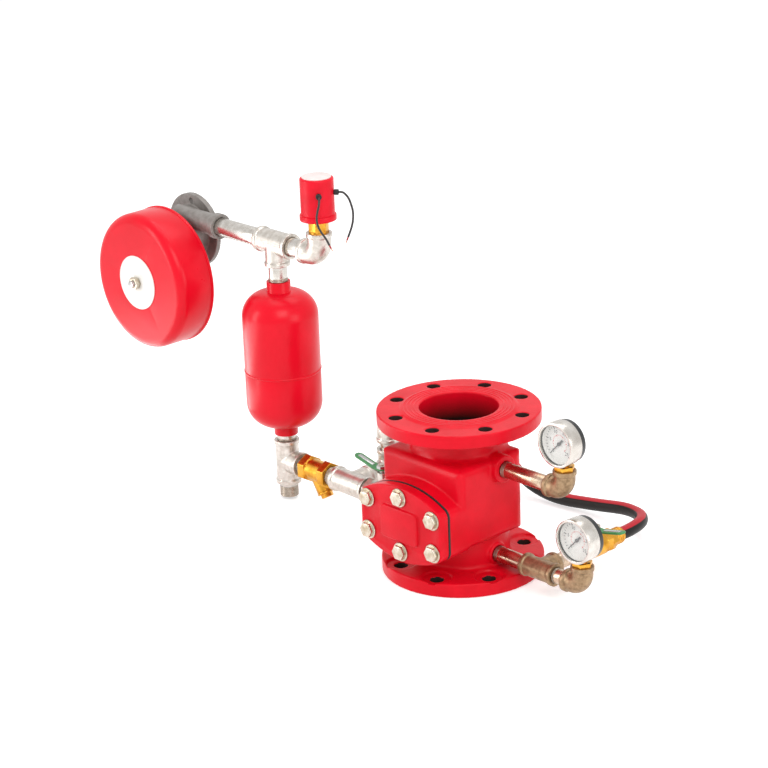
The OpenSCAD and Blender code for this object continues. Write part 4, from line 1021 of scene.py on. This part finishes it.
@dataclass
class RetardChamber:
    """Pressed chamber in two halves, with the weld that closes it.

    Attributes:
        widths_mm: Rounding of the edges of each half.
        axis_mm: X and Y of the chamber's axis.
        seam_z_mm: Height of the weld.
        bead_mm: Rings of the weld bead.
        ripple_mm: How far the bead's ripples move its surface.
        ripples: Ripples round the bead.
    """

    widths_mm: Widths = table(chamber_upper_shell=0.5, chamber_lower_shell=0.5)
    axis_mm: Pair = (-357.0, 0.0)
    seam_z_mm: float = 199.0
    bead_mm: Profile = ((53.9, -2.0), (54.75, -1.5), (55.2, -0.7), (55.3, 0.0), (55.2, 0.7), (54.75, 1.5),
                        (53.9, 2.0), (53.9, -2.0))
    ripple_mm: float = 0.12
    ripples: int = 60

    def build(self) -> None:
        """Builds both halves and the weld bead."""
        round_nodes(self.widths_mm)
        bead = turned(self.bead_mm, 4 * self.ripples)
        for vertex in bead.data.vertices:
            turn = math.atan2(vertex.co.y, vertex.co.x) * self.ripples
            flat = Vector((vertex.co.x, vertex.co.y, 0.0))
            vertex.co += flat.normalized() * self.ripple_mm * MM * math.sin(turn)
        lay(bead, (*self.axis_mm, self.seam_z_mm))
        new_piece(bead, "chamber_weld_bead", RED_SHEET)


@dataclass
class PressureSwitch:
    """Switch housing and the bare ends of its leads.

    Attributes:
        widths_mm: Rounding of the edges of each node.
        core_mm: Rings of the insulated core beyond a lead's cover.
        wire_mm: Rings of the stripped wire.
    """

    widths_mm: Widths = table(switch_neck=0.7, switch_base=1.0, switch_cap=0.4, lead_grommets=0.5)
    core_mm: Profile = ((1.0, -1.5), (1.15, -1.0), (1.15, 5.0), (0.9, 5.4))
    wire_mm: Profile = ((0.5, 4.0), (0.62, 4.5), (0.62, 9.0), (0.4, 9.5))

    def build(self) -> None:
        """Builds the rounded pieces of the switch."""
        round_nodes(self.widths_mm)

    def lead_ends(self, name: str, route_mm: Sequence[Point]) -> List[Piece]:
        """Builds the stripped end of one lead.

        Args:
            name: Name of the lead.
            route_mm: Route of the lead.

        Returns:
            The core and the wire.
        """
        along = Vector(route_mm[-1]) - Vector(route_mm[-2])
        ends = []
        for part, rings, finish, slot in (("core", self.core_mm, RED_CORE, "red_plastic"),
                                          ("wire", self.wire_mm, COPPER, "brass")):
            piece = lay(turned(rings, WIRE_SIDES), route_mm[-1], tuple(along))
            ends.append(new_piece(piece, f"{name}_{part}", finish))
        return ends


@dataclass
class WaterMotorGong:
    """Gong bell, its motor and its trim.

    Attributes:
        skin: Skin of the motor's castings.
        widths_mm: Rounding of the edges of each node.
        bell_axis_mm: Point on the bell's axis at its rim.
        rim_mm: Rings of the rolled rim, from the back of the bell forwards.
    """

    skin: Skin = Skin(0.8, 6, 80000)
    widths_mm: Widths = table(motor_screws=0.5, gong_post=0.6, gong_bell=0.9, gong_disc=0.4, gong_nut=0.8)
    bell_axis_mm: Point = (-574.0, -24.0, 303.0)
    rim_mm: Profile = ((97.4, 0.4), (98.6, -0.6), (100.2, -0.6), (101.2, 0.4), (101.4, 1.8), (100.9, 3.2),
                       (99.6, 3.9), (97.4, 3.9), (97.4, 0.4))

    def build(self) -> None:
        """Builds the motor's castings, the rounded pieces and the bell's rolled rim."""
        self.skin.cast("motor_casing", "motor_cover")
        round_nodes(self.widths_mm)
        rim = lay(turned(self.rim_mm, RING_SIDES), self.bell_axis_mm, FORWARD)
        new_piece(rim, "bell_rolled_rim", RED_SHEET)


@dataclass
class PhotoCamera:
    """Camera of the photograph, solved from the flange and the pipes.

    Attributes:
        azimuth: Degrees from the front towards the gauges.
        elevation: Degrees above the floor.
        roll: Degrees of roll.
        focal_px: Focal length in pixels.
        distance_mm: Distance to the target.
        target_mm: Point that projects to target_px.
        target_px: Pixel of the target.
        frame_px: Width of the picture in pixels.
        sensor: Width of the sensor, in millimetres of the lens.
        reach: How far it sees, in metres.
    """

    azimuth: float = 47.51
    elevation: float = 19.96
    roll: float = -2.26
    focal_px: float = 2500.0
    distance_mm: float = 3351.73
    target_mm: Point = (0.0, 0.0, 115.0)
    target_px: Pair = (461.09, 485.69)
    frame_px: float = 768.0
    sensor: float = 36.0
    reach: float = 20.0

    def place(self) -> Piece:
        """Adds the camera to the scene.

        Returns:
            The camera object.
        """
        az, el, ro = (math.radians(v) for v in (self.azimuth, self.elevation, self.roll))
        back = Vector((math.sin(az) * math.cos(el), -math.cos(az) * math.cos(el), math.sin(el)))
        flat = Vector((math.cos(az), math.sin(az), 0.0))
        rise = back.cross(flat)
        right = flat * math.cos(ro) + rise * math.sin(ro)
        up = rise * math.cos(ro) - flat * math.sin(ro)
        middle = self.frame_px / 2
        step = self.distance_mm / self.focal_px
        spot = Vector(self.target_mm) + back * self.distance_mm
        spot += (right * (middle - self.target_px[0]) + up * (self.target_px[1] - middle)) * step
        data = bpy.data.cameras.new("photo_camera")
        data.sensor_width = self.sensor
        data.lens = self.focal_px / self.frame_px * self.sensor
        data.clip_end = self.reach
        camera = bpy.data.objects.new("photo_camera", data)
        bpy.context.scene.collection.objects.link(camera)
        turn = Matrix((right, up, back)).transposed().to_4x4()
        camera.matrix_world = Matrix.Translation(spot * MM) @ turn
        bpy.context.scene.camera = camera
        return camera


@dataclass
class Studio:
    """White floor and soft lights.

    Attributes:
        floor_half: Half width of the floor in metres.
        floor_drop: How far the floor lies below the lower flange, in metres.
        ambient: Strength of the light from all round.
        aim_at: Point that the lamps face, in metres.
        lamps: Name, place, width, height and power of each soft lamp.
        card: The same for the low card that puts the sheen on bell and chamber. Only reflections show it.
        paper: Colour of the floor.
        glow: How much the floor is brightened where the camera or a reflection sees it.
    """

    floor_half: float = 6.0
    floor_drop: float = 0.0005
    ambient: float = 0.62
    aim_at: Point = (-0.15, 0.0, 0.2)
    lamps: Tuple[Tuple[str, Point, float, float, float], ...] = (
        ("key_lamp", (1.6, -1.2, 2.2), 1.4, 1.4, 32.0),
        ("top_lamp", (-0.5, 0.5, 2.4), 1.8, 1.8, 20.0),
        ("side_lamp", (2.4, 0.2, 0.9), 1.2, 1.2, 14.0),
        ("strip_lamp", (-1.45, -1.75, 0.7), 0.35, 1.5, 15.0))
    card: Tuple[str, Point, float, float, float] = ("sheen_card", (-0.88, -0.52, 0.02), 0.44, 1.0, 4.5)
    paper: str = "#F2F2F2"
    glow: float = 0.46

    def build(self) -> None:
        """Adds the floor, the lamps and the surrounding light."""
        deselect_all()
        bpy.ops.mesh.primitive_plane_add(size=2 * self.floor_half, location=(0, 0, -self.floor_drop))
        floor = bpy.context.object
        floor.name = "studio_floor"
        bpy.ops.object.transform_apply()
        floor.data.materials.append(self._floor_paper())
        for row in self.lamps:
            aim = Vector(self.aim_at) - Vector(row[1])
            self._lamp(*row, aim.to_track_quat("-Z", "Y").to_matrix().to_4x4())
        card = self._lamp(*self.card, Matrix.Rotation(math.pi, 4, "X"))
        card.visible_camera = card.visible_diffuse = card.visible_transmission = False
        self._surround()
        bpy.context.scene.view_settings.view_transform = "Standard"

    def _lamp(self, name: str, place: Point, width: float, height: float, power: float,
              turn: Matrix) -> Piece:
        """Adds a soft lamp.

        Args:
            name: Its name.
            place: Its middle, in metres.
            width: Its width in metres.
            height: Its height in metres.
            power: Its power in watts.
            turn: Rotation that turns its face from -Z.

        Returns:
            The lamp.
        """
        data = bpy.data.lights.new(name, "AREA")
        data.shape = "RECTANGLE"
        data.size, data.size_y, data.energy = width, height, power
        lamp = bpy.data.objects.new(name, data)
        bpy.context.scene.collection.objects.link(lamp)
        lamp.matrix_world = Matrix.Translation(place) @ turn
        return lamp

    def _floor_paper(self) -> Material:
        """Builds the matt white paper of the floor, which shows white to the camera and keeps shadows."""
        mat, tree, shader = start_material("matt_white_paper")
        set_inputs(tree, shader, Base_Color=linear(self.paper), Roughness=0.9, Specular_IOR_Level=0.0)
        seen = any_ray(tree, "Is Camera Ray", "Is Glossy Ray")
        grey = (self.glow, self.glow, self.glow, 1.0)
        glow = add_node(tree, "Emission", Strength=seen, Color=grey)
        both = add_node(tree, "AddShader", i0=shader.outputs[0], i1=glow.outputs[0])
        set_inputs(tree, tree.nodes["Material Output"], Surface=both.outputs[0])
        return mat

    def _surround(self) -> None:
        """Sets the world: white to camera, glossy and transmission rays, plain soft light otherwise."""
        world = bpy.data.worlds.new("white_studio")
        world.use_nodes = True
        bpy.context.scene.world = world
        tree = world.node_tree
        seen = any_ray(tree, "Is Camera Ray", "Is Glossy Ray", "Is Transmission Ray")
        level = ranged(tree, seen, (0.0, 1.0), (self.ambient, 1.0))
        set_inputs(tree, tree.nodes["Background"], Color=(1.0, 1.0, 1.0, 1.0), Strength=level)


def smooth_route(points_mm: Sequence[Point], per_span: int = 4) -> List[Vector]:
    """Rounds a route with a curve through its points.

    Args:
        points_mm: Points of the route in millimetres.
        per_span: New points for each span.

    Returns:
        Points in metres.
    """
    pts = [Vector(p) * MM for p in points_mm]
    out: List[Vector] = []
    for i in range(len(pts) - 1):
        before, start, stop, after = pts[max(i - 1, 0)], pts[i], pts[i + 1], pts[min(i + 2, len(pts) - 1)]
        for k in range(per_span):
            t = k / per_span
            out.append(0.5 * (2 * start + (stop - before) * t
                              + (2 * before - 5 * start + 4 * stop - after) * t ** 2
                              + (3 * start - before - 3 * stop + after) * t ** 3))
    out.append(pts[-1])
    return out


@dataclass
class CordRun:
    """A hose or lead: one round tube along its route.

    Attributes:
        name: Name of the piece.
        node: CAD node that it stands for.
        route_mm: Route from its exit to its far end.
        diameter_mm: Diameter.
        slot: Material slot.
        far_end: Kind of far end; not used.
        stiffness: How stiff it is; not used.
        lay: How it lies; not used.
        extras: Pieces at its far end; not used.
        sides: How finely its circle is drawn, as Blender counts it.
    """

    name: str
    node: str
    route_mm: Sequence[Point]
    diameter_mm: float
    slot: str
    far_end: str
    stiffness: str
    lay: str
    extras: List[Piece] = field(default_factory=list)
    sides: int = 5

    def build(self) -> Piece:
        """Returns:
            The tube.
        """
        points = smooth_route(self.route_mm)
        curve = bpy.data.curves.new(self.name, "CURVE")
        curve.dimensions = "3D"
        curve.bevel_depth = self.diameter_mm / 2 * MM
        curve.bevel_resolution = self.sides
        curve.use_fill_caps = True
        spline = curve.splines.new("POLY")
        spline.points.add(len(points) - 1)
        for knot, point in zip(spline.points, points):
            knot.co = (*point, 1.0)
        tube = bpy.data.objects.new(self.name, curve)
        bpy.context.scene.collection.objects.link(tube)
        activate(tube)
        bpy.ops.object.convert(target="MESH")
        bpy.ops.object.shade_smooth()
        tube = bpy.context.object
        self._mark_upper_side(tube, points)
        new_piece(tube, self.name, SLOT_FINISHES[self.slot], replaces=(self.node,))
        return tube

    def _mark_upper_side(self, tube: Piece, points: Sequence[Vector]) -> None:
        """Stores how far each point of the tube lies on its upper side, from 0 to 1."""
        mark = tube.data.attributes.new(UPPER_SIDE, "FLOAT", "POINT")
        radius = self.diameter_mm / 2 * MM
        for i, vertex in enumerate(tube.data.vertices):
            near = min(range(len(points)), key=lambda k: (points[k] - vertex.co).length_squared)
            along = (points[min(near + 1, len(points) - 1)] - points[max(near - 1, 0)]).normalized()
            up = (Vector(UP) - along * along.z).normalized()
            offset = vertex.co - points[near]
            mark.data[i].value = max(0.0, min(1.0, 0.5 + 0.5 * offset.dot(up) / radius))


HOSE_ROUTE: Tuple[Point, ...] = (
    (145, 155, 36), (145, 161, 36), (145, 172, 36), (143, 188, 36), (138, 204, 35), (129, 218, 33),
    (116, 230, 31), (99, 238, 29), (80, 242, 27), (60, 243, 24), (35, 242, 20), (5, 240, 16),
    (-25, 237, 13), (-50, 234, 13), (-73, 231, 17), (-94, 228, 25), (-113, 226, 37), (-131, 224, 52),
    (-148, 221, 68), (-164, 217, 84), (-179, 210, 98), (-192, 200, 110), (-203, 188, 120),
    (-211, 175, 127.5), (-216, 163, 132), (-218.4, 153, 134.3), (-219, 144, 135), (-219, 141, 135))
FRONT_LEAD_ROUTE: Tuple[Point, ...] = (
    (-241, -18, 476), (-237, -21, 476), (-234, -24, 473), (-233, -26, 467), (-234, -28, 459),
    (-235, -29, 449), (-234, -28, 439), (-231, -25, 430), (-227, -21, 421), (-224, -18, 412))
SIDE_LEAD_ROUTE: Tuple[Point, ...] = (
    (-241, 18, 476), (-237, 21, 476), (-234, 24, 473), (-231, 27, 467), (-229, 29, 459),
    (-228, 31, 449), (-228, 31, 439), (-229, 30, 430), (-231, 28, 421), (-234, 26, 412))


def dress_nodes() -> None:
    """Gives every CAD node its finish."""
    for name, obj in frame["nodes"].items():
        PALETTE.dress(obj, node_finish(name))


def main() -> None:
    """Builds the scene in order."""
    logging.basicConfig(level=logging.INFO, format="%(name)s %(message)s")
    PhotoCamera().place()
    switch = PressureSwitch()
    CordRun("banded_test_hose", "test_hose", HOSE_ROUTE, 18.0, "hose_rubber", "object", "stiff",
            "loose").build()
    for name, node, route in (("front_switch_lead", "front_lead", FRONT_LEAD_ROUTE),
                              ("side_switch_lead", "side_lead", SIDE_LEAD_ROUTE)):
        CordRun(name, node, route, 3.0, "lead_cover", "bare", "medium", "hanging",
                switch.lead_ends(name, route)).build()
    dress_nodes()
    for assembly in (ValveCasting(), Gauges(), Pipework(), RetardChamber(), switch, WaterMotorGong()):
        assembly.build()
    Studio().build()


if __name__ == "__main__":
    main()
